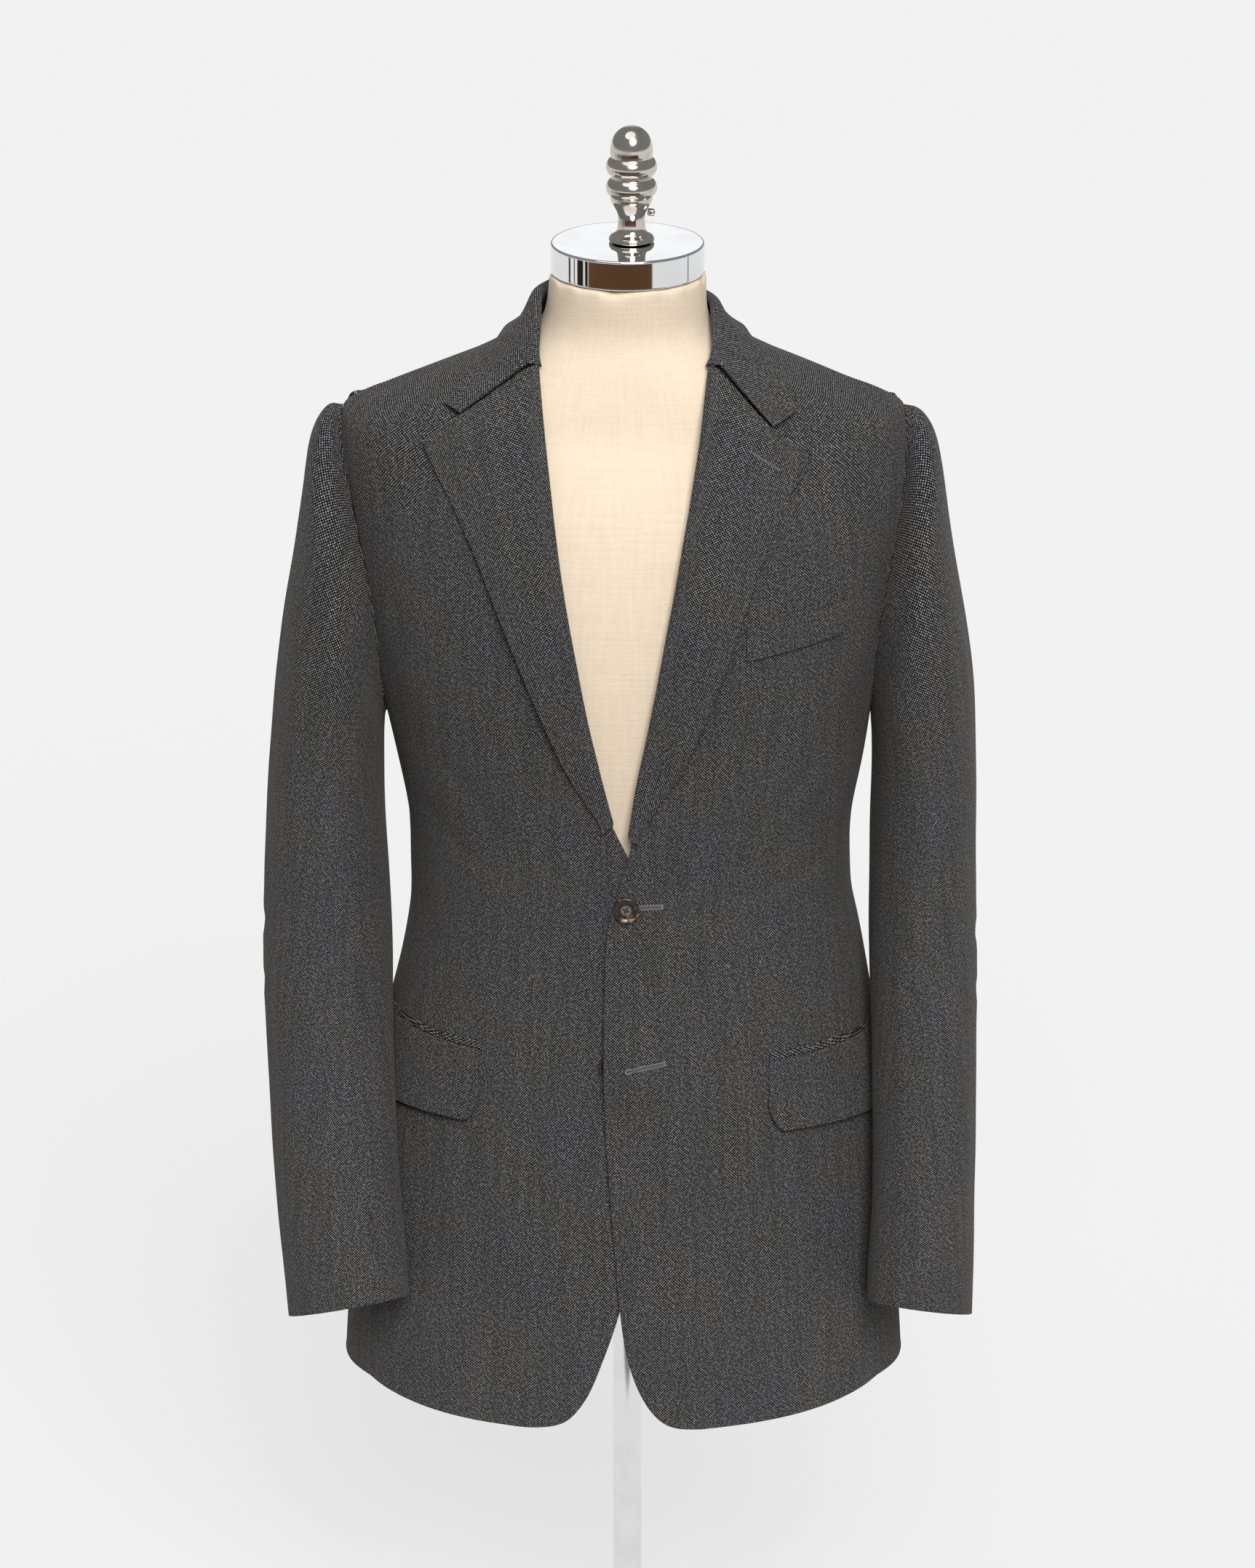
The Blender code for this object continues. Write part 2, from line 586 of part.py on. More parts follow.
def back(side):
    sign = SIDES[side]
    rows, columns = len(SEAM_LEVELS) + BACK_ARM_ROWS, NECK_COLUMNS + FRONT_COLUMNS
    centre = [(0.0, HEM), (0.0, VENT_TOP - 0.02), (0.0, VENT_TOP + 0.01), (0.0, NECK_SEAM_BACK)]
    if side == "right":
        centre[:2] = [(-VENT_OVERLAP, HEM), (-VENT_OVERLAP, VENT_TOP - 0.02)]
    up_seam = seam_places(BACK_SEAM, BACK_SEAM_AT, HEM)
    up_arm = np.stack(armhole(np.linspace(BACK_SEAM_AT, 0, BACK_ARM_ROWS + 1)[1:]), axis=-1)
    right = np.concatenate([up_seam, up_arm])
    seam_z = up_seam[-1, 1]
    above = np.linspace(seam_z, NECK_SEAM_BACK, BACK_ARM_ROWS + 1)[1:]
    heights = np.concatenate([up_seam[:, 1], above])
    cross = np.interp(heights, [z for _, z in centre], [x for x, _ in centre])
    angles = 180 - angle_at(cross + smooth_read(SECTIONS, 5, heights), heights)
    left = np.stack([angles, heights], axis=-1)
    share = np.linspace(0, 1, columns)
    bottom = left[0] + (right[0] - left[0]) * share[:, None]
    at_neck = NECK_COLUMNS / (columns - 1)
    neck_share = np.clip(share / at_neck, 0, 1)
    slope_share = np.clip((share - at_neck) / (1 - at_neck), 0, 1)
    top_angle = 180 - 90 * neck_share
    top_z = NECK_SEAM_BACK + (NECK_SEAM - NECK_SEAM_BACK) * neck_share
    top_z = top_z + (SHOULDER_TIP - NECK_SEAM) * slope_share
    top = np.stack([top_angle, top_z], axis=-1)
    places = coons(bottom, top, left, right)
    places[..., 0] *= sign
    return body_panel("back_" + side, places, vent_lift if side == "left" else None)


def keep_clear(points, clearance):
    """Moves points that lie less than this far out of the body's surface outwards."""
    half, side_y, front_y, back_y, middle_x = (
        smooth_read(SECTIONS, column, points[..., 2]) for column in range(1, 6)
    )
    off_x, off_y = (points[..., 0] - middle_x) / half, side_y - points[..., 1]
    off_y = off_y / np.where(off_y > 0, side_y - front_y, back_y - side_y)
    sine, cosine = (np.sign(off) * np.abs(off) ** (ROUNDNESS / 2) for off in (off_x, off_y))
    place, normal = surface(np.degrees(np.arctan2(sine, cosine)), points[..., 2])
    proud = ((points - place) * normal).sum(axis=-1)
    return points + normal * np.clip(clearance - proud, 0, None)[..., None]


def sleeve_surface(side, turn, along):
    """The sleeve's outer surface. Turn is round it, 0 outermost and 90 frontmost; along is in table rows."""
    table = [(i, *row) for i, row in enumerate(SLEEVES[side])]
    outer_x, outer_z, inner_x, inner_z, middle_y, half_depth = (
        smooth_read(table, column, along) for column in range(1, 7)
    )
    turn = np.radians(turn)
    cosine, sine = np.cos(turn), np.sin(turn)
    fold = np.zeros(np.broadcast(turn, along).shape)
    for row, around, width, depth in SLEEVE_FOLDS:
        swing = (turn - math.radians(around) + math.pi) % (2 * math.pi) - math.pi
        off = (along - row) * 0.075 + swing * FOLD_SLANT
        fold = fold + depth * np.exp(-((off / width) ** 2) - (swing / 0.75) ** 2)
    half_x, half_z = (outer_x - inner_x) / 2 + fold, (outer_z - inner_z) / 2
    x = (outer_x + inner_x) / 2 + half_x * cosine
    y = middle_y - (half_depth + fold) * sine
    tilt = CUFF_TILT * rise((along - CUFF_TILT_FROM) / CUFF_TILT_OVER)
    z = (outer_z + inner_z) / 2 + half_z * cosine + half_depth * sine * tilt
    return np.stack([SIDES[side] * x, y, z], axis=-1)


def sleeve_points(side, turn, along):
    """The sleeve's surface, drawn to the armhole seam at its top and kept clear of the body."""
    turn, along = np.broadcast_arrays(np.asarray(turn, float), np.asarray(along, float))
    arm_angle, arm_z = armhole(turn)
    seam, normal = surface(SIDES[side] * arm_angle, arm_z, FOLD_GAP)
    start = sleeve_surface(side, turn, np.zeros_like(along))
    fade = (np.clip(1 - along / 4.0, 0, 1) ** 2)[..., None]
    points = sleeve_surface(side, turn, along) + (seam - start) * fade
    clearance = smooth_read(SLEEVE_CLEAR, 1, points[..., 2])
    return np.where(points[..., 2:] < ARM_CLEAR_BELOW, keep_clear(points, clearance), points)


def sleeve(side):
    last = len(SLEEVES[side]) - 1
    rows = SLEEVE_START + np.linspace(0, 1, SLEEVE_ROWS) ** 0.92 * (last - SLEEVE_START)
    front_seam, back_seam = SLEEVE_SEAMS
    pieces = {
        "sleeve_top_": np.linspace(back_seam, front_seam, SLEEVE_TOP_COLUMNS),
        "sleeve_under_": np.linspace(front_seam, 360 + back_seam, SLEEVE_UNDER_COLUMNS),
    }
    for name, turns in pieces.items():
        turn, along = np.meshgrid(turns, rows)
        outer = sleeve_points(side, turn, along)
        step_turn, step_along = 1.5, 0.04
        round_way = sleeve_points(side, turn + step_turn, along) - sleeve_points(side, turn - step_turn, along)
        low, high = np.clip(along - step_along, 0, last), np.clip(along + step_along, 0, last)
        down_way = sleeve_points(side, turn, high) - sleeve_points(side, turn, low)
        normal = unit(np.cross(round_way, down_way)) * SIDES[side]
        wall(name + side, trim(outer, SLEEVE_HALF_SEAM), trim(outer - normal * CLOTH, SLEEVE_HALF_SEAM), "tweed")


def lapel_row(side, roll, edge, middle, size):
    """One row of a lapel or of the collar's end: hooked round the roll, then lying on the panel."""
    (roll_x, roll_z), (edge_x, edge_z) = roll, edge
    points = []
    width = math.hypot(edge_x - roll_x, edge_z - roll_z)
    slope = ((edge_x - roll_x) / width, (edge_z - roll_z) / width)
    squeeze = min(1.0, width / 0.026)
    for across, proud in ROLL_SECTION:
        x, z = roll_x + slope[0] * across * squeeze, roll_z + slope[1] * across * squeeze
        points.append((x, z, proud * (size if proud > 0 else 1)))
    flat = LAPEL_GAP + FACING
    start = ROLL_SECTION[-1][0] * squeeze
    for share, raised in zip((0.36, 0.72, 1.0), (0.62, 0.22, 0.0)):
        if middle is not None and share == 0.72:
            x, z = middle
        elif middle is not None and share < 0.72:
            x = roll_x + slope[0] * start + (middle[0] - roll_x - slope[0] * start) * 0.5
            z = roll_z + slope[1] * start + (middle[1] - roll_z - slope[1] * start) * 0.5
        else:
            reach = start + (width - start) * share
            x, z = roll_x + slope[0] * reach, roll_z + slope[1] * reach
        points.append((x, z, flat + (ROLL_SECTION[-1][1] * size - flat) * raised))
    x, z, out = (np.array(column) for column in zip(*points))
    return front_place(side, x, z, out)[0]


def roll_size(share):
    return 0.50 + 0.50 * rise(share / 0.4)


def lapel(side):
    table = np.array(LAPELS[side])
    spacing = np.linspace(0, 1, len(table))
    rows = []
    for share in np.linspace(0, 1, LAPEL_ROWS):
        roll_x, roll_z, edge_x, edge_z = (
            float(smooth_read(list(zip(spacing, column)), 1, share)) for column in table.T
        )
        middle = GORGE[side][:2] if share == 1.0 else None
        rows.append(lapel_row(side, (roll_x, roll_z), (edge_x, edge_z), middle, roll_size(share)))
    outer = np.array(rows)
    normal = grid_normals(outer) * SIDES[side]
    thick = 1.1 * MM + (FACING - 1.1 * MM) * rise(np.linspace(0, 1, LAPEL_ROWS) / 0.3)
    inner = outer - normal * thick[:, None, None]
    wall("lapel_" + side, trim(outer, GORGE_GAP), trim(inner, GORGE_GAP), "tweed")


def collar_row(side, seam, fold, edge):
    """One section of the collar: stand, rounded fold and fall, from the neck side outwards."""
    sign = SIDES[side]
    seam, fold = np.array(seam) * (sign, 1, 1), np.array(fold) * (sign, 1, 1)
    fold = fold + (COLLAR_LEAN[0], 0, COLLAR_LEAN[1] * fold[0])
    end, _ = surface(sign * edge[0], edge[1], LAPEL_GAP + FACING)
    fall = unit(end - fold)
    stand = unit(seam - fold)
    apart = unit(fall - stand)
    inner_side = fold - apart * FOLD_RADIUS * 0.85 + (fall + stand) * FOLD_RADIUS * 0.45
    outer_side = fold + apart * FOLD_RADIUS * 0.85 + (fall + stand) * FOLD_RADIUS * 0.45
    lift = unit(np.cross(np.cross(fall, stand), fall))
    if lift[2] < 0:
        lift = -lift
    bulge = COLLAR_BULGE
    return np.array([
        seam,
        (seam + inner_side) / 2,
        inner_side,
        fold,
        outer_side,
        outer_side + (end - outer_side) * 0.36 + lift * bulge,
        outer_side + (end - outer_side) * 0.72 + lift * bulge * 0.7,
        end,
    ])


def collar():
    halves = {}
    for side in SIDES:
        roll = LAPELS[side][-1][:2]
        vertex_x, vertex_z, tip_x, tip_z = GORGE[side]
        rows = [lapel_row(side, roll, (tip_x, tip_z), (vertex_x, vertex_z), 1.0)]
        rows += [collar_row(side, row[0:3], row[3:6], row[6:8]) for row in COLLAR]
        halves[side] = rows
    stations = np.array(halves["right"] + halves["left"][-2::-1])
    spacing = np.linspace(0, 1, len(stations))
    fine = np.linspace(0, 1, COLLAR_ROWS)
    outer = np.stack(
        [
            np.stack([smooth_read(list(zip(spacing, stations[:, c, k])), 1, fine) for k in range(3)], -1)
            for c in range(stations.shape[1])
        ],
        axis=1,
    )
    outer[1:-1, 5:] = keep_clear(outer[1:-1, 5:], COLLAR_CLEAR + FACING)
    normal = grid_normals(outer)
    wall("collar", trim(outer, GORGE_GAP), trim(outer - normal * FACING, GORGE_GAP), "tweed")


def strip(name, side, start_x, top, width, height, out, thick, columns=7, rows=4, slot="tweed"):
    """A patch on a front: width round the surface from start_x, its top a function of the share across."""
    even = np.linspace(0, 1, columns)
    shares = even * 0.65 + (0.5 - 0.5 * np.cos(even * math.pi)) * 0.35
    grid = np.zeros((rows, columns, 3))
    under = np.zeros((rows, columns, 3))
    for c, share in enumerate(shares):
        top_z = top(share)
        drop = height(share) if callable(height) else height
        for r, down in enumerate(np.linspace(1, 0, rows)):
            z = top_z - drop * down
            lean = out + (FLAP["flare"] * down if callable(height) else 0)
            place = angle_after(start_x, z, width * share, side)
            x = abs(float(plain_surface(place, z)[0]))
            lift = float(front_lift(x, z)) if side == "left" and abs(place) < 80 else 0.0
            grid[r, c] = surface(place, z, lean + thick + lift)[0]
            under[r, c] = surface(place, z, lean + lift)[0]
    return wall(name, grid, under, slot)


def pockets(side):
    row = POCKETS[side]
    jet_top = row["z"] + JET_HEIGHT + 1.15 * SEAT

    def flap_height(share):
        reach = FLAP["width"] * min(share, 1 - share)
        corner = FLAP["corner"]
        cut = corner - math.sqrt(max(0.0, corner**2 - max(0.0, corner - reach) ** 2))
        return FLAP["height"] + FLAP["slant"] * share - cut

    strip("flap_" + side, side, row["x"], lambda s: row["z"] + row["rise"] * s, FLAP["width"],
          flap_height, LAYER_GAP, FLAP_CLOTH, columns=13, rows=5)
    strip("jet_" + side, side, row["x"] - 0.002, lambda s: jet_top + row["rise"] * s, FLAP["width"] + 0.003,
          JET_HEIGHT, LAYER_GAP, JET_CLOTH, columns=13, rows=2)


def breast_welt():
    strip("breast_welt", "left", WELT["x"], lambda s: WELT["z"] + WELT["rise"] * s, WELT["width"],
          WELT["height"], LAYER_GAP, FLAP_CLOTH, columns=6, rows=3)


# ---------------------------------------------------------------- turned pieces


def turned(name, profile, round_count, slot, location=(0, 0, 0)):
    """A solid turned round Z from a profile of (radius, height), closed on the axis at both ends."""
    bm = bmesh.new()
    rings = []
    for radius, height in profile:
        turns = [2 * math.pi * k / round_count for k in range(round_count)]
        rings.append([bm.verts.new((radius * math.cos(a), radius * math.sin(a), height)) for a in turns])
    for low, high in zip(rings, rings[1:]):
        for k in range(round_count):
            n = (k + 1) % round_count
            bm.faces.new([low[k], low[n], high[n], high[k]])
    bm.faces.new(rings[0][::-1])
    bm.faces.new(rings[-1])
    made = add_object(name, bm, slot)
    made.location = location
    return made


def button(name, side, place):
    """A four-hole button lying on a front: a rim, a dished middle and holes right through."""
    x, z = place
    profile = [(BUTTON_RADIUS * 0.86, 0.0), (BUTTON_RADIUS, BUTTON_HEIGHT * 0.45)]
    profile += [(BUTTON_RADIUS * 0.95, BUTTON_HEIGHT * 0.9), (BUTTON_RADIUS - BUTTON_RIM * 0.5, BUTTON_HEIGHT)]
    profile += [(BUTTON_RADIUS - BUTTON_RIM, BUTTON_HEIGHT * 0.9)]
    profile += [(BUTTON_RADIUS - BUTTON_RIM * 1.6, BUTTON_HEIGHT - BUTTON_DISH)]
    made = turned(name, profile, TURNED_ROUND, "horn")
    cutters = []
    for k in range(4):
        a = math.radians(45 + 90 * k)
        bpy.ops.mesh.primitive_cylinder_add(
            vertices=8, radius=BUTTON_HOLE, depth=4 * BUTTON_HEIGHT,
            location=(BUTTON_HOLE_AT * math.cos(a), BUTTON_HOLE_AT * math.sin(a), 0))
        cutter = bpy.context.object
        cutters.append(cutter)
        cut = made.modifiers.new("hole", "BOOLEAN")
        cut.operation, cut.object, cut.solver = "DIFFERENCE", cutter, "EXACT"
    graph = bpy.context.evaluated_depsgraph_get()
    pierced = bpy.data.meshes.new_from_object(made.evaluated_get(graph))
    made.modifiers.clear()
    made.data = pierced
    for cutter in cutters:
        bpy.data.objects.remove(cutter)
    lift = float(front_lift(x, z)) if side == "left" else 0.0
    point, normal = surface(angle_at(x, z), z, lift + SEAT * 1.5)
    facing = facing_turn(normal)
    made.location = tuple(point)
    made.rotation_euler = facing
    return made


def facing_turn(normal):
    """Turns a piece's +Z onto a direction that points forward."""
    return (math.pi / 2 + math.asin(-normal[2]), 0.0, math.atan2(normal[0], -normal[1]))


def dress_form():
    turned("base", [(BASE_RADIUS, 0), (BASE_RADIUS, BASE_HEIGHT * 0.7), (BASE_RADIUS * 0.985, BASE_HEIGHT)],
           CAP_ROUND, "chrome")
    turned("pole", [(POLE_RADIUS, BASE_HEIGHT + SEAT), (POLE_RADIUS, FORM_BOTTOM - SEAT)], TURNED_ROUND, "chrome")
    cap_low, cap_high = NECK_TOP + SEAT, NECK_TOP + SEAT + CAP_HEIGHT
    turned("neck_cap", [(CAP_RADIUS - CAP_BEVEL, cap_low), (CAP_RADIUS, cap_low + CAP_BEVEL),
                        (CAP_RADIUS, cap_high - CAP_BEVEL), (CAP_RADIUS - CAP_BEVEL, cap_high)],
           CAP_ROUND, "chrome")
    foot = cap_high + SEAT
    turned("finial", [(radius, foot + height) for radius, height in FINIAL] + [(0.0015, foot + FINIAL_TOP)],
           TURNED_ROUND, "nickel", (FINIAL_X, 0, 0))
    stem = float(np.interp(SCREW_HEIGHT, [h for _, h in FINIAL], [r for r, _ in FINIAL]))
    screw = turned("finial_screw", [(SCREW_RADIUS, 0), (SCREW_RADIUS, SCREW_REACH - stem)],
                   6, "nickel")
    screw.rotation_euler = (0, math.pi / 2, math.radians(-20))
    reach = stem + 5 * SEAT
    screw.location = (FINIAL_X + reach * math.cos(math.radians(20)), -reach * math.sin(math.radians(20)),
                      foot + SCREW_HEIGHT)

    lower = np.linspace(FORM_BOTTOM, 0.96, FORM_ROWS // 2, endpoint=False)
    upper = np.array([0.96, 0.985, 1.008, 1.024, 1.036, 1.046, 1.0565, 1.0735, 1.0855, 1.099, 1.112, 1.128])
    heights = np.concatenate([lower, upper, [NECK_TOP]])
    turns = np.linspace(-180, 180, FORM_ROUND, endpoint=False)
    bm = bmesh.new()
    rings = []
    for z in heights:
        deep_front, deep_back, middle, tall = BONE_HOLLOW
        cosine = np.cos(np.radians(turns))
        deep = np.where(cosine > 0, deep_front, deep_back) * rise(np.abs(cosine) / 0.45)
        hollow = deep[:, None] * math.exp(-(((z - middle) / tall) ** 2))
        inset = float(smooth_read(FORM_INSET, 1, z)) + hollow
        ring, normal = surface(turns, np.full(FORM_ROUND, z))
        ring = ring - normal * inset - normal * body_folds(turns, np.full(FORM_ROUND, z))[:, None]
        ring[:, 2] = z if z in (heights[0], heights[-1]) else ring[:, 2]
        rings.append([bm.verts.new(point) for point in ring])
    for low, high in zip(rings, rings[1:]):
        for k in range(FORM_ROUND):
            n = (k + 1) % FORM_ROUND
            bm.faces.new([low[k], low[n], high[n], high[k]])
    bm.faces.new(rings[0][::-1])
    bm.faces.new(rings[-1])
    add_object("form_torso", bm, "linen")


def main():
    for old in list(bpy.data.objects):
        bpy.data.objects.remove(old)
    dress_form()
    for side in SIDES:
        front(side)
        side_body(side)
        back(side)
        sleeve(side)
        lapel(side)
        pockets(side)
    collar()
    breast_welt()
    button("button_top", "left", TOP_BUTTON)
    button("button_lower", "right", LOWER_BUTTON)


main()
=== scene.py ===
# A tweed jacket on a limbless dress form: the finished cloth, the form with its chrome and nickel, and the light.
import math

import bpy
import numpy as np
from mathutils import Matrix, Vector
from mathutils.bvhtree import BVHTree


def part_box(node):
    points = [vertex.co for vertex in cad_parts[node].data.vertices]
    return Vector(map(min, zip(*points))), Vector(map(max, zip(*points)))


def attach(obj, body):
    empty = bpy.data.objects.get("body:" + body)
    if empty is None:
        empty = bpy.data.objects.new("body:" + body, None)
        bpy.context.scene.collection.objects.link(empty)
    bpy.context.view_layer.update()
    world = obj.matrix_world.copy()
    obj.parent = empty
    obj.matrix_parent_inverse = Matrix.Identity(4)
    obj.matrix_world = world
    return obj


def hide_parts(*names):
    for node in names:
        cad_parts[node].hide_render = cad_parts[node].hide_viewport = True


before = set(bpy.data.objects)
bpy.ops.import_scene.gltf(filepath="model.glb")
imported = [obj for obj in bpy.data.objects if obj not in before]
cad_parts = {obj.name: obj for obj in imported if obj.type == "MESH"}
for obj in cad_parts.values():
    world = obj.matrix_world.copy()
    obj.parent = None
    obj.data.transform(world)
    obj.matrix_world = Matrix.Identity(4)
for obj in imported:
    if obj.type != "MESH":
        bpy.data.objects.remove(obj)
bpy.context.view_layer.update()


# Camera: a long lens, a little above the jacket and looking down on it
camera = {"place": (0.0, -6.0, 2.828947), "tilt": 70.818, "lens": 193.563, "sensor": 36.0}

cameraData = bpy.data.cameras.new("camera")
cameraData.lens = camera["lens"]
cameraData.sensor_fit = "VERTICAL"
cameraData.sensor_height = camera["sensor"]
cameraData.clip_end = 60.0
cameraObject = bpy.data.objects.new("camera", cameraData)
cameraObject.location = camera["place"]
cameraObject.rotation_euler = (math.radians(camera["tilt"]), 0.0, 0.0)
bpy.context.scene.collection.objects.link(cameraObject)
bpy.context.scene.camera = cameraObject


# Objects and meshes

def pick(piece, *others):
    # only these are selected, and the first is the active one
    bpy.ops.object.select_all(action="DESELECT")
    for one in (piece, *others):
        one.select_set(True)
    bpy.context.view_layer.objects.active = piece


def edit(piece):
    # into edit mode with nothing selected
    pick(piece)
    bpy.ops.object.mode_set(mode="EDIT")
    bpy.ops.mesh.select_all(action="DESELECT")


def leave():
    bpy.ops.object.mode_set(mode="OBJECT")


def selectFaces(piece, wanted):
    # selects the faces that pass the test, and goes back to edit mode
    bpy.ops.mesh.select_mode(type="FACE")
    leave()
    for face in piece.data.polygons:
        face.select = bool(wanted(face))
    bpy.ops.object.mode_set(mode="EDIT")


def addModifier(piece, kind, **settings):
    modifier = piece.modifiers.new(kind.lower(), kind)
    for name, value in settings.items():
        setattr(modifier, name, value)
    return modifier


def applyModifier(piece, kind, **settings):
    pick(piece)
    modifier = addModifier(piece, kind, **settings)
    bpy.ops.object.modifier_apply(modifier=modifier.name)


def applyPlace(piece):
    pick(piece)
    bpy.ops.object.transform_apply(location=True, rotation=True, scale=True)


def smoothRound(piece, angle=40):
    pick(piece)
    bpy.ops.object.shade_smooth_by_angle(angle=math.radians(angle))


def joined(name, pieces):
    pick(*pieces)
    bpy.ops.object.join()
    made = bpy.context.object
    made.name = name
    made.data.name = name
    return made


def cadCopy(name, node):
    # a copy of a CAD node's mesh, merged and in quads again
    made = bpy.data.objects.new(name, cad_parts[node].data.copy())
    bpy.context.scene.collection.objects.link(made)
    made.data.materials.clear()
    edit(made)
    bpy.ops.mesh.select_all(action="SELECT")
    bpy.ops.mesh.remove_doubles(threshold=0.00001)
    bpy.ops.mesh.tris_convert_to_quads(
        face_threshold=math.radians(45), shape_threshold=math.pi, topology_influence=2.0)
    leave()
    return made


def points(mesh):
    flat = np.empty(len(mesh.vertices) * 3, np.float32)
    mesh.vertices.foreach_get("co", flat)
    return flat.reshape(-1, 3).astype(float)


def normals(mesh):
    flat = np.empty(len(mesh.vertices) * 3, np.float32)
    mesh.vertex_normals.foreach_get("vector", flat)
    return flat.reshape(-1, 3).astype(float)


def setPoints(mesh, places):
    mesh.vertices.foreach_set("co", np.ascontiguousarray(places, np.float32).ravel())
    mesh.update()


def finished(piece, material, slot, *nodes):
    # the piece takes its material and rides on the form, in place of its CAD nodes
    piece.data.materials.clear()
    piece.data.materials.append(material)
    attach(piece, "root")
    if nodes:
        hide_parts(*nodes)
    return piece


# Shader nodes

def put(tree, kind, feeds=None, **settings):
    made = tree.nodes.new(kind)
    for name, value in settings.items():
        setattr(made, name, value)
    for socket, value in (feeds or {}).items():
        if isinstance(value, bpy.types.NodeSocket):
            tree.links.new(value, made.inputs[socket])
        else:
            made.inputs[socket].default_value = value
    return made


def figure(tree, operation, first, second=0.0, third=0.0):
    made = put(tree, "ShaderNodeMath", {0: first, 1: second, 2: third}, operation=operation)
    return made.outputs[0]


def blendColours(tree, share, first, second, mode="MIX"):
    made = put(tree, "ShaderNodeMix", {0: share, 6: first, 7: second}, data_type="RGBA", blend_type=mode)
    return made.outputs[2]


def ranged(tree, value, low, high, to=(0.0, 1.0), kind="SMOOTHSTEP"):
    feeds = {0: value, 1: low, 2: high, 3: to[0], 4: to[1]}
    return put(tree, "ShaderNodeMapRange", feeds, interpolation_type=kind).outputs[0]


def newGroup(name, inputs, outputs):
    tree = bpy.data.node_groups.new(name, "ShaderNodeTree")
    for label, kind, value in inputs:
        socket = tree.interface.new_socket(label, in_out="INPUT", socket_type="NodeSocket" + kind)
        if value is not None:
            socket.default_value = value
    for label, kind in outputs:
        tree.interface.new_socket(label, in_out="OUTPUT", socket_type="NodeSocket" + kind)
    return tree, tree.nodes.new("NodeGroupInput").outputs, tree.nodes.new("NodeGroupOutput").inputs


def useGroup(tree, group, feeds):
    made = tree.nodes.new("ShaderNodeGroup")
    made.node_tree = group
    for socket, value in feeds.items():
        if isinstance(value, bpy.types.NodeSocket):
            tree.links.new(value, made.inputs[socket])
        else:
            made.inputs[socket].default_value = value
    return made.outputs


def newMaterial(name, **constants):
    # a material with one Principled shader, whose even values are set on its own sockets
    material = bpy.data.materials.new(name)
    material.use_nodes = True
    tree = material.node_tree
    shader = tree.nodes["Principled BSDF"]
    for label, value in constants.items():
        shader.inputs[label.replace("_", " ")].default_value = value
    return material, tree, shader


def bump(tree, shader, height, strength, distance):
    made = put(tree, "ShaderNodeBump", {"Height": height, "Strength": strength, "Distance": distance})
    tree.links.new(made.outputs[0], shader.inputs["Normal"])


def tint(value, colour):
    return (value * colour[0], value * colour[1], value * colour[2], 1.0)


def grey(value, warm=0.0):
    return (value * (1 + warm), value, value * (1 - warm), 1.0)


# Shared effects

def yarnGroup():
    # a lattice of yarn ends: dots where both yarns show, each a little out of line and of its own weight
    tree, given, result = newGroup(
        "yarnLattice",
        [("Place", "Vector", None), ("Pitch", "Float", 0.0015), ("Turn", "Float", 0.7854),
         ("Waver", "Float", 0.25), ("Sharp", "Float", 0.5)],
        [("Dots", "Float"), ("Height", "Float"), ("Weight", "Float")])
    waver = put(tree, "ShaderNodeTexNoise", {"Vector": given["Place"], "Scale": 330.0, "Detail": 2.0})
    off = put(tree, "ShaderNodeVectorMath", {0: waver.outputs["Color"], 1: (0.5, 0.5, 0.5)}, operation="SUBTRACT")
    size = figure(tree, "MULTIPLY", given["Waver"], given["Pitch"])
    off = put(tree, "ShaderNodeVectorMath", {0: off.outputs[0], "Scale": size}, operation="SCALE")
    place = put(tree, "ShaderNodeVectorMath", {0: given["Place"], 1: off.outputs[0]})
    turned = put(tree, "ShaderNodeVectorRotate", {"Vector": place.outputs[0], "Angle": given["Turn"]},
                 rotation_type="Z_AXIS")
    parts = put(tree, "ShaderNodeSeparateXYZ", {0: turned.outputs[0]})
    waves = []
    for axis in (0, 1):
        along = figure(tree, "DIVIDE", parts.outputs[axis], given["Pitch"])
        wave = figure(tree, "SINE", figure(tree, "MULTIPLY", along, 2 * math.pi))
        waves.append(figure(tree, "MULTIPLY_ADD", wave, 0.5, 0.5))
    both = figure(tree, "MULTIPLY", *waves)
    weight = put(tree, "ShaderNodeTexNoise", {"Vector": turned.outputs[0], "Scale": 520.0, "Detail": 1.0})
    weight = ranged(tree, weight.outputs["Fac"], 0.3, 0.7)
    low = figure(tree, "MULTIPLY_ADD", weight, -0.36, 0.47)
    high = figure(tree, "SUBTRACT", figure(tree, "ADD", low, 0.55), given["Sharp"])
    tree.links.new(ranged(tree, both, low, high), result["Dots"])
    tree.links.new(figure(tree, "ADD", both, figure(tree, "MULTIPLY", weight, 0.35)), result["Height"])
    tree.links.new(weight, result["Weight"])
    return tree


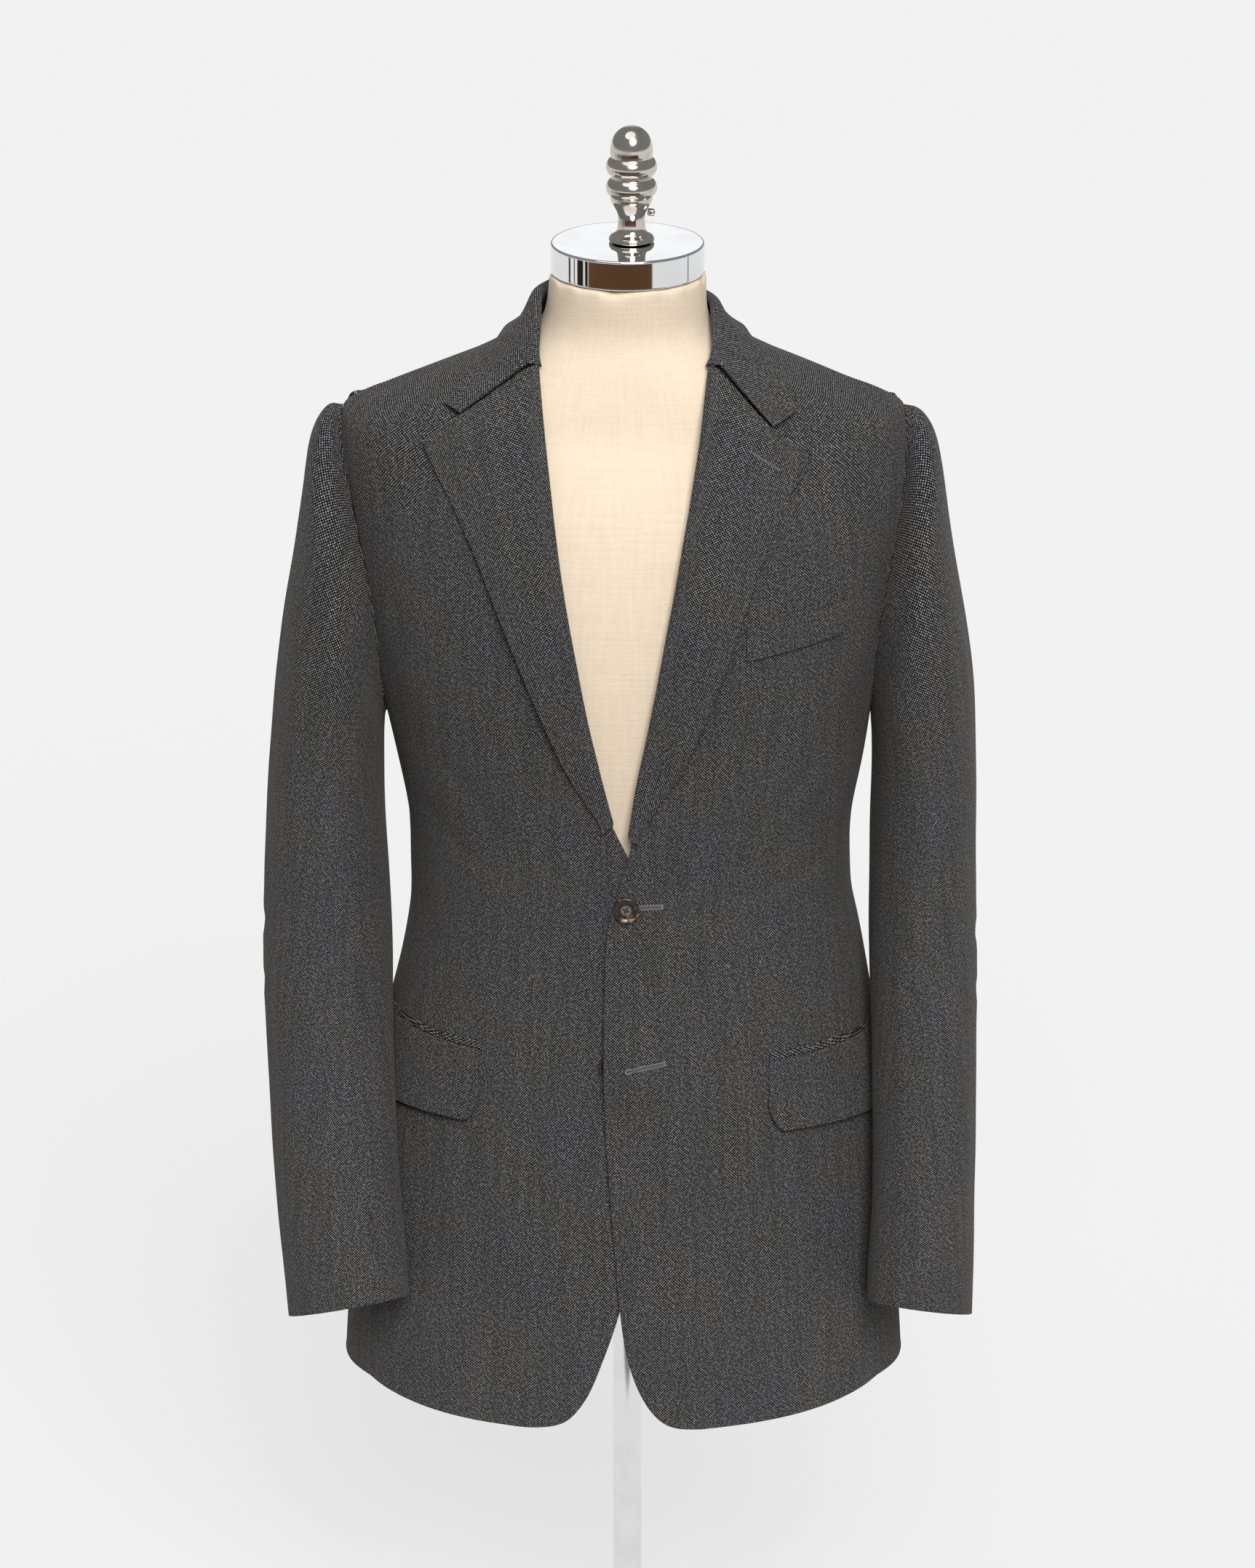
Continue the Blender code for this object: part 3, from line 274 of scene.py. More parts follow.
def patchGroup():
    # slow changes over a cloth: broad patches, streaks along the yarn, single bright neps, and fibre
    tree, given, result = newGroup(
        "clothPatches", [("Place", "Vector", None), ("Streak Scale", "Float", 150.0), ("Nep Share", "Float", 0.1)],
        [("Broad", "Float"), ("Streak", "Float"), ("Nep", "Float"), ("Fibre", "Float")])
    broad = put(tree, "ShaderNodeTexNoise", {"Vector": given["Place"], "Scale": 14.0, "Detail": 3.0})
    tree.links.new(ranged(tree, broad.outputs["Fac"], 0.3, 0.7), result["Broad"])
    drawn = put(tree, "ShaderNodeVectorMath", {0: given["Place"], 1: (1.0, 0.07, 1.0)}, operation="MULTIPLY")
    streak = put(tree, "ShaderNodeTexNoise",
                 {"Vector": drawn.outputs[0], "Scale": given["Streak Scale"], "Detail": 2.0})
    tree.links.new(ranged(tree, streak.outputs["Fac"], 0.28, 0.72), result["Streak"])
    nep = put(tree, "ShaderNodeTexNoise", {"Vector": given["Place"], "Scale": 430.0, "Detail": 0.0})
    start = figure(tree, "SUBTRACT", 0.8, given["Nep Share"])
    tree.links.new(ranged(tree, nep.outputs["Fac"], start, figure(tree, "ADD", start, 0.06)), result["Nep"])
    fibre = put(tree, "ShaderNodeTexNoise", {"Vector": given["Place"], "Scale": 1700.0, "Detail": 2.0})
    tree.links.new(fibre.outputs["Fac"], result["Fibre"])
    return tree


def smudgeGroup():
    # polished metal: faint cloudy film and fine hairlines
    tree, given, result = newGroup(
        "metalSmudges", [("Place", "Vector", None), ("Cloud Scale", "Float", 40.0), ("Film", "Float", 0.5)],
        [("Film", "Float"), ("Height", "Float")])
    cloud = put(tree, "ShaderNodeTexNoise", {"Vector": given["Place"], "Scale": given["Cloud Scale"], "Detail": 4.0})
    drawn = put(tree, "ShaderNodeVectorMath", {0: given["Place"], 1: (1.0, 1.0, 14.0)}, operation="MULTIPLY")
    hair = put(tree, "ShaderNodeTexNoise", {"Vector": drawn.outputs[0], "Scale": 260.0, "Detail": 3.0})
    film = figure(tree, "MULTIPLY", ranged(tree, cloud.outputs["Fac"], 0.42, 0.72), given["Film"])
    tree.links.new(film, result["Film"])
    tree.links.new(hair.outputs["Fac"], result["Height"])
    return tree


yarnLattice = yarnGroup()
clothPatches = patchGroup()
metalSmudges = smudgeGroup()


# Tweed: pale flecks on near-black ground, with a soft nap
tweedLook = {
    "pitch": 0.0015, "turn": 45.0, "ground": 0.006, "fleck": 0.25, "warm": (1.05, 1.0, 0.94), "cool": (0.99, 0.96, 1.07),
    "sheen": 0.05, "depth": 0.00035,
}


def tweedMaterial():
    material, tree, shader = newMaterial(
        "tweed", Sheen_Weight=tweedLook["sheen"], Sheen_Roughness=0.45, Sheen_Tint=(0.95, 0.86, 0.78, 1.0),
        Specular_IOR_Level=0.18)
    place = put(tree, "ShaderNodeUVMap", uv_map="weave").outputs[0]
    yarn = useGroup(tree, yarnLattice, {
        "Place": place, "Pitch": tweedLook["pitch"], "Turn": math.radians(tweedLook["turn"]),
        "Waver": 0.42, "Sharp": 0.28})
    patch = useGroup(tree, clothPatches, {"Place": place, "Streak Scale": 170.0, "Nep Share": 0.04})
    fleck = blendColours(tree, patch["Broad"], tint(tweedLook["fleck"], tweedLook["warm"]),
                         tint(tweedLook["fleck"] * 0.94, tweedLook["cool"]))
    fleck = blendColours(tree, patch["Streak"], fleck, grey(tweedLook["fleck"] * 0.74))
    fleck = blendColours(tree, ranged(tree, yarn["Weight"], 0.0, 1.0, (0.35, 0.0)), fleck, grey(tweedLook["ground"]))
    ground = blendColours(tree, patch["Broad"], grey(tweedLook["ground"], 0.06), grey(tweedLook["ground"], -0.08))
    colour = blendColours(tree, yarn["Dots"], ground, fleck)
    colour = blendColours(tree, figure(tree, "MULTIPLY", patch["Nep"], 0.35), colour, grey(tweedLook["fleck"], 0.05))
    shade = ranged(tree, patch["Fibre"], 0.25, 0.75, (0.8, 1.2))
    shade = put(tree, "ShaderNodeCombineColor", {0: shade, 1: shade, 2: shade}).outputs[0]
    colour = blendColours(tree, 1.0, colour, shade, "MULTIPLY")
    tree.links.new(colour, shader.inputs["Base Color"])
    tree.links.new(ranged(tree, yarn["Dots"], 0.0, 1.0, (0.95, 0.82)), shader.inputs["Roughness"])
    height = figure(tree, "MULTIPLY_ADD", patch["Fibre"], 0.5, yarn["Height"])
    bump(tree, shader, height, 0.7, tweedLook["depth"])
    return material


# Linen of the form: cream, plain weave, with slubs
linenLook = {"pitch": 0.0009, "pale": (0.68, 0.575, 0.45, 1.0), "dark": (0.54, 0.43, 0.31, 1.0), "depth": 0.0002}


def linenMaterial():
    material, tree, shader = newMaterial("linen", Sheen_Weight=0.08, Sheen_Roughness=0.5, Specular_IOR_Level=0.2)
    place = put(tree, "ShaderNodeUVMap", uv_map="weave").outputs[0]
    yarn = useGroup(tree, yarnLattice, {
        "Place": place, "Pitch": linenLook["pitch"], "Turn": 0.0, "Waver": 0.4, "Sharp": 0.1})
    patch = useGroup(tree, clothPatches, {"Place": place, "Streak Scale": 420.0, "Nep Share": 0.05})
    cross = put(tree, "ShaderNodeVectorRotate", {"Vector": place, "Angle": math.pi / 2}, rotation_type="Z_AXIS")
    other = useGroup(tree, clothPatches, {"Place": cross.outputs[0], "Streak Scale": 420.0, "Nep Share": 0.05})
    weave = figure(tree, "MULTIPLY_ADD", yarn["Dots"], 0.35, 0.12)
    weave = figure(tree, "MULTIPLY_ADD", patch["Streak"], 0.16, weave)
    weave = figure(tree, "MULTIPLY_ADD", other["Streak"], 0.16, weave)
    colour = blendColours(tree, weave, linenLook["pale"], linenLook["dark"])
    colour = blendColours(tree, figure(tree, "MULTIPLY", patch["Nep"], 0.3), colour, (0.5, 0.38, 0.27, 1.0))
    tree.links.new(colour, shader.inputs["Base Color"])
    tree.links.new(ranged(tree, patch["Fibre"], 0.3, 0.7, (0.8, 0.95)), shader.inputs["Roughness"])
    height = figure(tree, "MULTIPLY_ADD", patch["Streak"], 0.5, yarn["Height"])
    height = figure(tree, "MULTIPLY_ADD", other["Streak"], 0.5, height)
    bump(tree, shader, height, 0.6, linenLook["depth"])
    return material


def metalMaterial(name, colour, film, roughness, cloudScale):
    material, tree, shader = newMaterial(name, Metallic=1.0)
    place = put(tree, "ShaderNodeTexCoord").outputs["Object"]
    smudge = useGroup(tree, metalSmudges, {"Place": place, "Cloud Scale": cloudScale, "Film": film})
    dull = tuple(part * 0.72 for part in colour[:3]) + (1.0,)
    tree.links.new(blendColours(tree, smudge["Film"], colour, dull), shader.inputs["Base Color"])
    rough = ranged(tree, smudge["Film"], 0.0, 1.0, (roughness, roughness + 0.22), "LINEAR")
    tree.links.new(rough, shader.inputs["Roughness"])
    bump(tree, shader, smudge["Height"], 0.08, 0.0001)
    return material


# Horn buttons: near-black with brown clouds
def hornMaterial():
    material, tree, shader = newMaterial("horn", Specular_IOR_Level=0.35, Coat_Weight=0.2, Coat_Roughness=0.1)
    place = put(tree, "ShaderNodeUVMap", uv_map="face").outputs[0]
    cloud = put(tree, "ShaderNodeTexNoise", {"Vector": place, "Scale": 2.1, "Detail": 3.0, "Distortion": 0.8})
    grain = put(tree, "ShaderNodeTexNoise", {"Vector": place, "Scale": 9.0, "Detail": 3.0})
    parts = put(tree, "ShaderNodeSeparateXYZ", {0: place})
    radius = put(tree, "ShaderNodeVectorMath", {0: place}, operation="LENGTH").outputs["Value"]
    ends = ranged(tree, parts.outputs[1], -0.85, -0.2, (0.34, 0.0))
    ends = figure(tree, "ADD", ends, ranged(tree, parts.outputs[1], 0.7, 1.0, (0.0, 0.14)))
    ends = figure(tree, "ADD", ends, cloud.outputs["Fac"])
    brown = blendColours(tree, grain.outputs["Fac"], (0.13, 0.065, 0.03, 1.0), (0.36, 0.25, 0.16, 1.0))
    dark = blendColours(tree, cloud.outputs["Fac"], (0.008, 0.007, 0.007, 1.0), (0.035, 0.026, 0.022, 1.0))
    # a paler grey that fills the middle of the face, fading out between about a third and a half of the radius
    paleMiddle = blendColours(tree, grain.outputs["Fac"], (0.10, 0.075, 0.066, 1.0), (0.19, 0.16, 0.15, 1.0))
    colour = blendColours(tree, ranged(tree, ends, 0.66, 0.80), dark, brown)
    colour = blendColours(tree, ranged(tree, radius, 0.30, 0.46, (1.0, 0.0)), colour, paleMiddle)
    tree.links.new(colour, shader.inputs["Base Color"])
    tree.links.new(ranged(tree, grain.outputs["Fac"], 0.3, 0.7, (0.22, 0.4)), shader.inputs["Roughness"])
    bump(tree, shader, grain.outputs["Fac"], 0.1, 0.0001)
    return material


def threadMaterial(name, colour):
    material, tree, shader = newMaterial(name, Sheen_Weight=0.2)
    place = put(tree, "ShaderNodeTexCoord").outputs["Object"]
    twist = put(tree, "ShaderNodeTexNoise", {"Vector": place, "Scale": 2600.0, "Detail": 2.0})
    dark = tuple(part * 0.55 for part in colour[:3]) + (1.0,)
    tree.links.new(blendColours(tree, twist.outputs["Fac"], colour, dark), shader.inputs["Base Color"])
    tree.links.new(ranged(tree, twist.outputs["Fac"], 0.3, 0.7, (0.6, 0.85)), shader.inputs["Roughness"])
    bump(tree, shader, twist.outputs["Fac"], 0.5, 0.0002)
    return material


tweed = tweedMaterial()
linen = linenMaterial()
chrome = metalMaterial("chrome", (0.80, 0.80, 0.81, 1.0), 0.25, 0.035, 30.0)
nickel = metalMaterial("nickel", (0.63, 0.58, 0.52, 1.0), 0.6, 0.09, 90.0)
horn = hornMaterial()
# near-black thread for the buttons; the same material is the painted shade in the buttonhole slits
darkThread = threadMaterial("darkThread", (0.02, 0.018, 0.018, 1.0))
greyThread = threadMaterial("greyThread", (0.17, 0.15, 0.18, 1.0))
print("materials made")


# Cloth: each cut piece is a thin shell on its solid's outer wall.
# cut is its width and length before it was sewn, area its flat area, grain how far its weave is turned
cloth = {"lift": 0.01, "backLift": 0.001, "thick": 0.0019, "edge": 0.00075, "seam": 0.0002, "corner": 50.0, "fine": 3, "uneven": 0.00012}
clothCuts = {
    "front_left": {"cut": (0.33, 0.87), "area": 0.18, "grain": 0.0, "held": "draped"},
    "front_right": {"cut": (0.33, 0.87), "area": 0.174, "grain": 0.0, "held": "draped"},
    "side_left": {"cut": (0.16, 0.6), "area": 0.062, "grain": 0.0, "held": "draped"},
    "side_right": {"cut": (0.16, 0.6), "area": 0.062, "grain": 0.0, "held": "draped"},
    "back_left": {"cut": (0.31, 0.87), "area": 0.178, "grain": 0.0, "held": "draped"},
    "back_right": {"cut": (0.31, 0.87), "area": 0.186, "grain": 0.0, "held": "draped"},
    "sleeve_top_left": {"cut": (0.27, 0.74), "area": 0.146, "grain": 0.0, "held": "hung"},
    "sleeve_top_right": {"cut": (0.28, 0.74), "area": 0.155, "grain": 0.0, "held": "hung"},
    "sleeve_under_left": {"cut": (0.16, 0.56), "area": 0.066, "grain": 0.0, "held": "hung"},
    "sleeve_under_right": {"cut": (0.16, 0.56), "area": 0.067, "grain": 0.0, "held": "hung"},
    "lapel_left": {"cut": (0.13, 0.4), "area": 0.02, "grain": 17.0, "held": "folded"},
    "lapel_right": {"cut": (0.13, 0.4), "area": 0.0204, "grain": -17.0, "held": "folded"},
    "collar": {"cut": (0.48, 0.1), "area": 0.03, "grain": 0.0, "held": "folded"},
    "flap_left": {"cut": (0.16, 0.065), "area": 0.009, "grain": 0.0, "held": "hung"},
    "flap_right": {"cut": (0.16, 0.065), "area": 0.009, "grain": 0.0, "held": "hung"},
    "jet_left": {"cut": (0.15, 0.012), "area": 0.0011, "grain": 0.0, "held": "laid"},
    "jet_right": {"cut": (0.15, 0.012), "area": 0.0011, "grain": 0.0, "held": "laid"},
    "breast_welt": {"cut": (0.09, 0.03), "area": 0.0024, "grain": 0.0, "held": "laid"},
}


# How far a sewn edge looks for its neighbour, and what share of the way it goes; head is where a sleeve's top starts
seams = {"sewn": 0.0010, "share": 0.4, "armhole": 0.0032, "over": 0.8, "head": 0.99, "rounds": 14}


def middleAt(node, height):
    # the middle line that a piece of cloth goes round: the body's, or a sleeve's own
    if not node.startswith("sleeve"):
        return 0.0, 0.02
    low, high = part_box(node.replace("under", "top"))
    y = np.interp(height, (0.38, 0.60, 0.75, 1.0), (-0.078, -0.030, -0.004, 0.0))
    return (low.x + high.x) / 2, y


# An outer face looks out, and the other wall lies close behind it; rim faces are narrow, with no wall behind
wall = {"deep": 0.0036, "narrow": 0.0009, "even": 0.8, "top": 0.98, "sharp": 70.0, "pair": 0.002, "close": 0.0045, "least": 0.0002}


def wallBehind(skin, face):
    hit, _, facing, _ = skin.ray_cast(face.center - face.normal * 0.00002, -face.normal, distance=wall["deep"])
    return hit and abs(facing.dot(face.normal)) > wall["even"]


def outerWall(skin, node):
    # faces that meet at no sharp edge are joined in groups, and the groups that look out stay
    mesh = skin.data
    owner = list(range(len(mesh.polygons)))

    def root(index):
        while owner[index] != index:
            owner[index] = owner[owner[index]]
            index = owner[index]
        return index

    first, area, looksOut = {}, {}, {}
    for face in mesh.polygons:
        spots = [mesh.vertices[index].co for index in face.vertices]
        longest = max((one - two).length for one in spots for two in spots)
        if wall["narrow"] < face.area / longest < wall["deep"] and not wallBehind(skin, face):
            continue
        for key in face.edge_keys:
            other = first.setdefault(key, face)
            if other.normal.angle(face.normal, 0.0) < math.radians(wall["sharp"]):
                owner[root(face.index)] = root(other.index)
    for face in mesh.polygons:
        group = root(face.index)
        x, y = middleAt(node, face.center.z)
        out = face.center - Vector((x, y, min(face.center.z, wall["top"])))
        area[group] = area.get(group, 0.0) + face.area
        if face.normal.dot(out) > 0 and wallBehind(skin, face):
            looksOut[group] = looksOut.get(group, 0.0) + face.area
    kept = {group for group, part in looksOut.items() if part > area[group] / 2 and area[group] > wall["least"]}
    edit(skin)
    selectFaces(skin, lambda face: root(face.index) not in kept)
    bpy.ops.mesh.delete(type="FACE")
    bpy.ops.mesh.select_all(action="SELECT")
    bpy.ops.mesh.fill_holes(sides=4)
    leave()


def backWall(skin, node):
    # a back's points come in pairs through the cloth: the wall between the outer ones stays, its slivers evened out
    spots = points(skin.data)
    apart = np.linalg.norm(spots[:, None] - spots[None], axis=2)
    partner = np.argmin(np.abs(apart - wall["pair"]), axis=1)
    middle = np.array([(*middleAt(node, z), min(z, wall["top"])) for z in spots[:, 2]])
    outer = np.sum((spots - spots[partner]) * (spots - middle), axis=1) > 0.0
    edit(skin)
    selectFaces(skin, lambda face: not all(outer[index] for index in face.vertices))
    bpy.ops.mesh.delete(type="FACE")
    bpy.ops.mesh.select_all(action="SELECT")
    bpy.ops.mesh.quads_convert_to_tris()
    bpy.ops.mesh.remove_doubles(threshold=wall["close"])
    bpy.ops.mesh.beautify_fill(angle_limit=math.pi)
    bpy.ops.mesh.tris_convert_to_quads(face_threshold=math.radians(45), shape_threshold=math.pi,
                                       topology_influence=2.0)
    leave()


def pinCorners(skin):
    # the corners of the cut keep their points when the shell is smoothed
    mesh = skin.data
    uses = {}
    for face in mesh.polygons:
        for key in face.edge_keys:
            uses[key] = uses.get(key, 0) + 1
    beside = {}
    for (one, two), count in uses.items():
        if count == 1:
            beside.setdefault(one, []).append(two)
            beside.setdefault(two, []).append(one)
    corners = set()
    for index, ends in beside.items():
        spot = mesh.vertices[index].co
        before, after = spot - mesh.vertices[ends[0]].co, mesh.vertices[ends[-1]].co - spot
        if len(ends) != 2 or before.angle(after, math.pi) > math.radians(cloth["corner"]):
            corners.add(index)
    edit(skin)
    bpy.ops.mesh.select_mode(type="VERT")
    leave()
    for vertex in mesh.vertices:
        vertex.select = vertex.index in corners
    bpy.ops.object.mode_set(mode="EDIT")
    bpy.ops.transform.vert_crease(value=1.0)
    leave()


def smoothThrough(skin, most):
    # smooths the shell so that it still passes through the points it had: the points are first moved out by as much
    # as smoothing would draw them in
    wanted = points(skin.data)
    held = wanted.copy()
    for _ in range(4):
        trial = bpy.data.objects.new("trial", skin.data.copy())
        bpy.context.scene.collection.objects.link(trial)
        setPoints(trial.data, held)
        applyModifier(trial, "SUBSURF", levels=1, render_levels=1, boundary_smooth="PRESERVE_CORNERS")
        shift = held + wanted - points(trial.data)[:len(wanted)] - wanted
        length = np.maximum(np.linalg.norm(shift, axis=1, keepdims=True), most)
        held = wanted + shift * most / length
        bpy.data.objects.remove(trial)
    setPoints(skin.data, held)
    applyModifier(skin, "SUBSURF", levels=cloth["fine"], render_levels=cloth["fine"],
                  boundary_smooth="PRESERVE_CORNERS")


def solidTree(node):
    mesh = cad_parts[node].data
    return BVHTree.FromPolygons([vertex.co for vertex in mesh.vertices], [face.vertices for face in mesh.polygons])


solids = {node: solidTree(node) for node in clothCuts}


def closeSeams(skin, node):
    # sewn edges are drawn together; a sleeve's edge reaches over to the armhole
    edit(skin)
    bpy.ops.mesh.select_mode(type="EDGE")
    bpy.ops.mesh.select_all(action="SELECT")
    bpy.ops.mesh.region_to_loop()
    leave()
    spots = points(skin.data)
    others = [solid for other, solid in solids.items() if other != node]
    reach = seams["armhole"] if node.startswith("sleeve") else seams["sewn"]
    for vertex in skin.data.vertices:
        if not vertex.select:
            continue
        found = [other.find_nearest(vertex.co, reach) for other in others]
        found = [hit for hit in found if hit[0] is not None]
        if found:
            spot, _, _, away = min(found, key=lambda hit: hit[3])
            share = seams["share"] if away < seams["sewn"] else seams["over"]
            spots[vertex.index] += (np.array(spot) - spots[vertex.index]) * share
    setPoints(skin.data, spots)


def easeHead(skin):
    # rounds the top of a sleeve, its edges kept
    edit(skin)
    bpy.ops.mesh.select_mode(type="EDGE")
    bpy.ops.mesh.select_all(action="SELECT")
    bpy.ops.mesh.region_to_loop()
    leave()
    edges = {vertex.index for vertex in skin.data.vertices if vertex.select}
    edit(skin)
    bpy.ops.mesh.select_mode(type="VERT")
    leave()
    for vertex in skin.data.vertices:
        vertex.select = vertex.index not in edges and vertex.co.z > seams["head"]
    bpy.ops.object.mode_set(mode="EDIT")
    bpy.ops.mesh.vertices_smooth(factor=0.5, repeat=seams["rounds"])
    leave()


def layWeave(skin, grain):
    # unfolds the shell flat, to its true size, with the grain upright or turned
    edit(skin)
    bpy.ops.mesh.select_all(action="SELECT")
    bpy.ops.uv.unwrap(method="ANGLE_BASED", margin=0.001)
    leave()
    mesh = skin.data
    mesh.uv_layers[0].name = "weave"
    layer = mesh.uv_layers[0]
    places = np.empty(len(mesh.loops) * 2, np.float32)
    layer.uv.foreach_get("vector", places)
    places = places.reshape(-1, 2).astype(float)
    corner = np.empty(len(mesh.loops), np.int32)
    mesh.loops.foreach_get("vertex_index", corner)
    spots = points(mesh)[corner]
    flatArea = 0.0
    for face in mesh.polygons:
        ring = places[list(face.loop_indices)]
        flatArea += 0.5 * float(np.sum(ring[:, 0] * np.roll(ring[:, 1], -1) - ring[:, 1] * np.roll(ring[:, 0], -1)))
    scale = math.sqrt(sum(face.area for face in mesh.polygons) / abs(flatArea))
    across = np.column_stack([places, np.ones(len(places))])
    upU, upV = np.linalg.lstsq(across, spots[:, 2], rcond=None)[0][:2]
    turn = math.pi / 2 - math.atan2(upV, upU) + math.radians(grain)
    spin = np.array([[math.cos(turn), math.sin(turn)], [-math.sin(turn), math.cos(turn)]])
    places = (places - places.mean(0)) @ spin * scale
    if flatArea < 0:
        places[:, 0] *= -1
    layer.uv.foreach_set("vector", places.astype(np.float32).ravel())


# Creases, each a soft trough with a rise on both sides. Seen from the front or back, across is x; from a
# sleeve's side it is y. bow is how far the crease bends off its straight line.
# view, from across, from height, to across, to height, width, depth, bow
creases = {
    "body": [
        ("front", 0.152, 0.810, 0.092, 0.735, 0.0090, 0.0015, 0.006),
        ("front", 0.158, 0.765, 0.108, 0.705, 0.0080, 0.0012, -0.005),
        ("front", 0.148, 0.705, 0.085, 0.688, 0.0075, 0.0009, 0.004),
        ("front", -0.150, 0.795, -0.096, 0.730, 0.0085, 0.0013, 0.006),
        ("front", -0.156, 0.748, -0.104, 0.704, 0.0080, 0.0010, -0.004),
        ("front", 0.012, 0.690, 0.066, 0.716, 0.0065, 0.0008, -0.004),
        ("front", 0.014, 0.676, 0.074, 0.668, 0.0070, 0.0009, 0.005),
        ("front", -0.014, 0.690, -0.070, 0.722, 0.0065, 0.0008, 0.004),
        ("front", -0.014, 0.676, -0.062, 0.654, 0.0070, 0.0008, -0.004),
        ("front", 0.060, 0.530, 0.052, 0.330, 0.0150, 0.0013, 0.008),
        ("front", 0.104, 0.480, 0.112, 0.310, 0.0130, 0.0014, -0.006),
        ("front", -0.070, 0.545, -0.058, 0.350, 0.0150, 0.0012, -0.007),
        ("front", -0.112, 0.490, -0.120, 0.325, 0.0125, 0.0014, 0.005),
        ("front", 0.176, 0.935, 0.150, 0.840, 0.0100, 0.0014, 0.004),
        ("front", 0.160, 0.985, 0.140, 0.930, 0.0110, 0.0009, 0.003),
        ("front", -0.178, 0.930, -0.152, 0.845, 0.0100, 0.0013, -0.004),
        ("front", -0.165, 0.990, -0.150, 0.935, 0.0100, 0.0008, 0.003),
        ("back", 0.150, 0.960, 0.128, 0.800, 0.0120, 0.0018, 0.006),
        ("back", -0.153, 0.950, -0.122, 0.815, 0.0115, 0.0016, -0.006),
        ("back", 0.118, 0.885, 0.096, 0.770, 0.0130, 0.0011, 0.005),
        ("back", 0.128, 0.735, 0.040, 0.704, 0.0085, 0.0014, 0.006),
        ("back", -0.132, 0.742, -0.050, 0.700, 0.0085, 0.0013, -0.006),
        ("back", 0.110, 0.700, 0.030, 0.682, 0.0075, 0.0009, 0.004),
        ("back", -0.104, 0.690, -0.026, 0.676, 0.0075, 0.0010, -0.004),
        ("back", 0.085, 0.560, 0.098, 0.330, 0.0150, 0.0016, 0.006),
        ("back", -0.092, 0.570, -0.080, 0.340, 0.0150, 0.0014, -0.006),
        ("back", 0.045, 1.062, -0.042, 1.060, 0.0080, 0.0009, 0.005),
        ("left", 0.010, 0.730, 0.062, 0.690, 0.0085, 0.0013, 0.004),
        ("left", -0.030, 0.560, -0.020, 0.360, 0.0130, 0.0014, 0.006),
        ("right", 0.006, 0.726, 0.058, 0.694, 0.0085, 0.0012, 0.004),
        ("right", -0.026, 0.565, -0.018, 0.350, 0.0130, 0.0013, -0.006),
    ],
    "sleeve_left": [
        ("front", 0.206, 0.640, 0.236, 0.606, 0.0065, 0.0013, 0.003),
        ("front", 0.205, 0.606, 0.231, 0.585, 0.0055, 0.0010, 0.002),
        ("front", 0.209, 0.672, 0.240, 0.654, 0.0060, 0.0009, -0.003),
        ("front", 0.222, 0.900, 0.226, 0.700, 0.0100, 0.0012, 0.004),
        ("front", 0.238, 0.560, 0.240, 0.400, 0.0085, 0.0010, -0.003),
        ("left", -0.050, 0.640, 0.010, 0.612, 0.0075, 0.0013, 0.004),
        ("left", -0.052, 0.600, -0.004, 0.582, 0.0065, 0.0010, -0.003),
        ("left", -0.020, 0.880, -0.024, 0.690, 0.0110, 0.0013, 0.005),
        ("left", -0.070, 0.540, -0.090, 0.410, 0.0090, 0.0010, 0.004),
        ("back", 0.212, 0.668, 0.246, 0.640, 0.0070, 0.0014, 0.003),
        ("back", 0.214, 0.636, 0.248, 0.620, 0.0060, 0.0011, -0.003),
        ("back", 0.226, 0.880, 0.232, 0.720, 0.0100, 0.0012, 0.004),
        ("back", 0.224, 0.560, 0.228, 0.420, 0.0090, 0.0009, 0.003),
    ],
    "sleeve_right": [
        ("front", -0.207, 0.652, -0.240, 0.616, 0.0065, 0.0014, -0.003),
        ("front", -0.206, 0.612, -0.234, 0.594, 0.0055, 0.0010, 0.002),
        ("front", -0.211, 0.690, -0.243, 0.668, 0.0065, 0.0009, 0.003),
        ("front", -0.226, 0.905, -0.232, 0.715, 0.0100, 0.0012, -0.004),
        ("front", -0.240, 0.560, -0.236, 0.395, 0.0085, 0.0010, 0.003),
        ("right", -0.048, 0.650, 0.014, 0.618, 0.0075, 0.0014, 0.004),
        ("right", -0.050, 0.606, 0.000, 0.590, 0.0065, 0.0010, -0.003),
        ("right", -0.018, 0.890, -0.026, 0.700, 0.0110, 0.0012, -0.005),
        ("right", -0.068, 0.545, -0.094, 0.415, 0.0090, 0.0010, 0.004),
        ("back", -0.214, 0.676, -0.250, 0.650, 0.0070, 0.0014, -0.003),
        ("back", -0.216, 0.642, -0.250, 0.630, 0.0060, 0.0010, 0.003),
        ("back", -0.228, 0.885, -0.238, 0.730, 0.0100, 0.0012, -0.004),
        ("back", -0.226, 0.560, -0.230, 0.425, 0.0090, 0.0009, 0.003),
    ],
}
views = {"front": (0, 1, -1.0), "back": (0, 1, 1.0), "left": (1, 0, 1.0), "right": (1, 0, -1.0)}


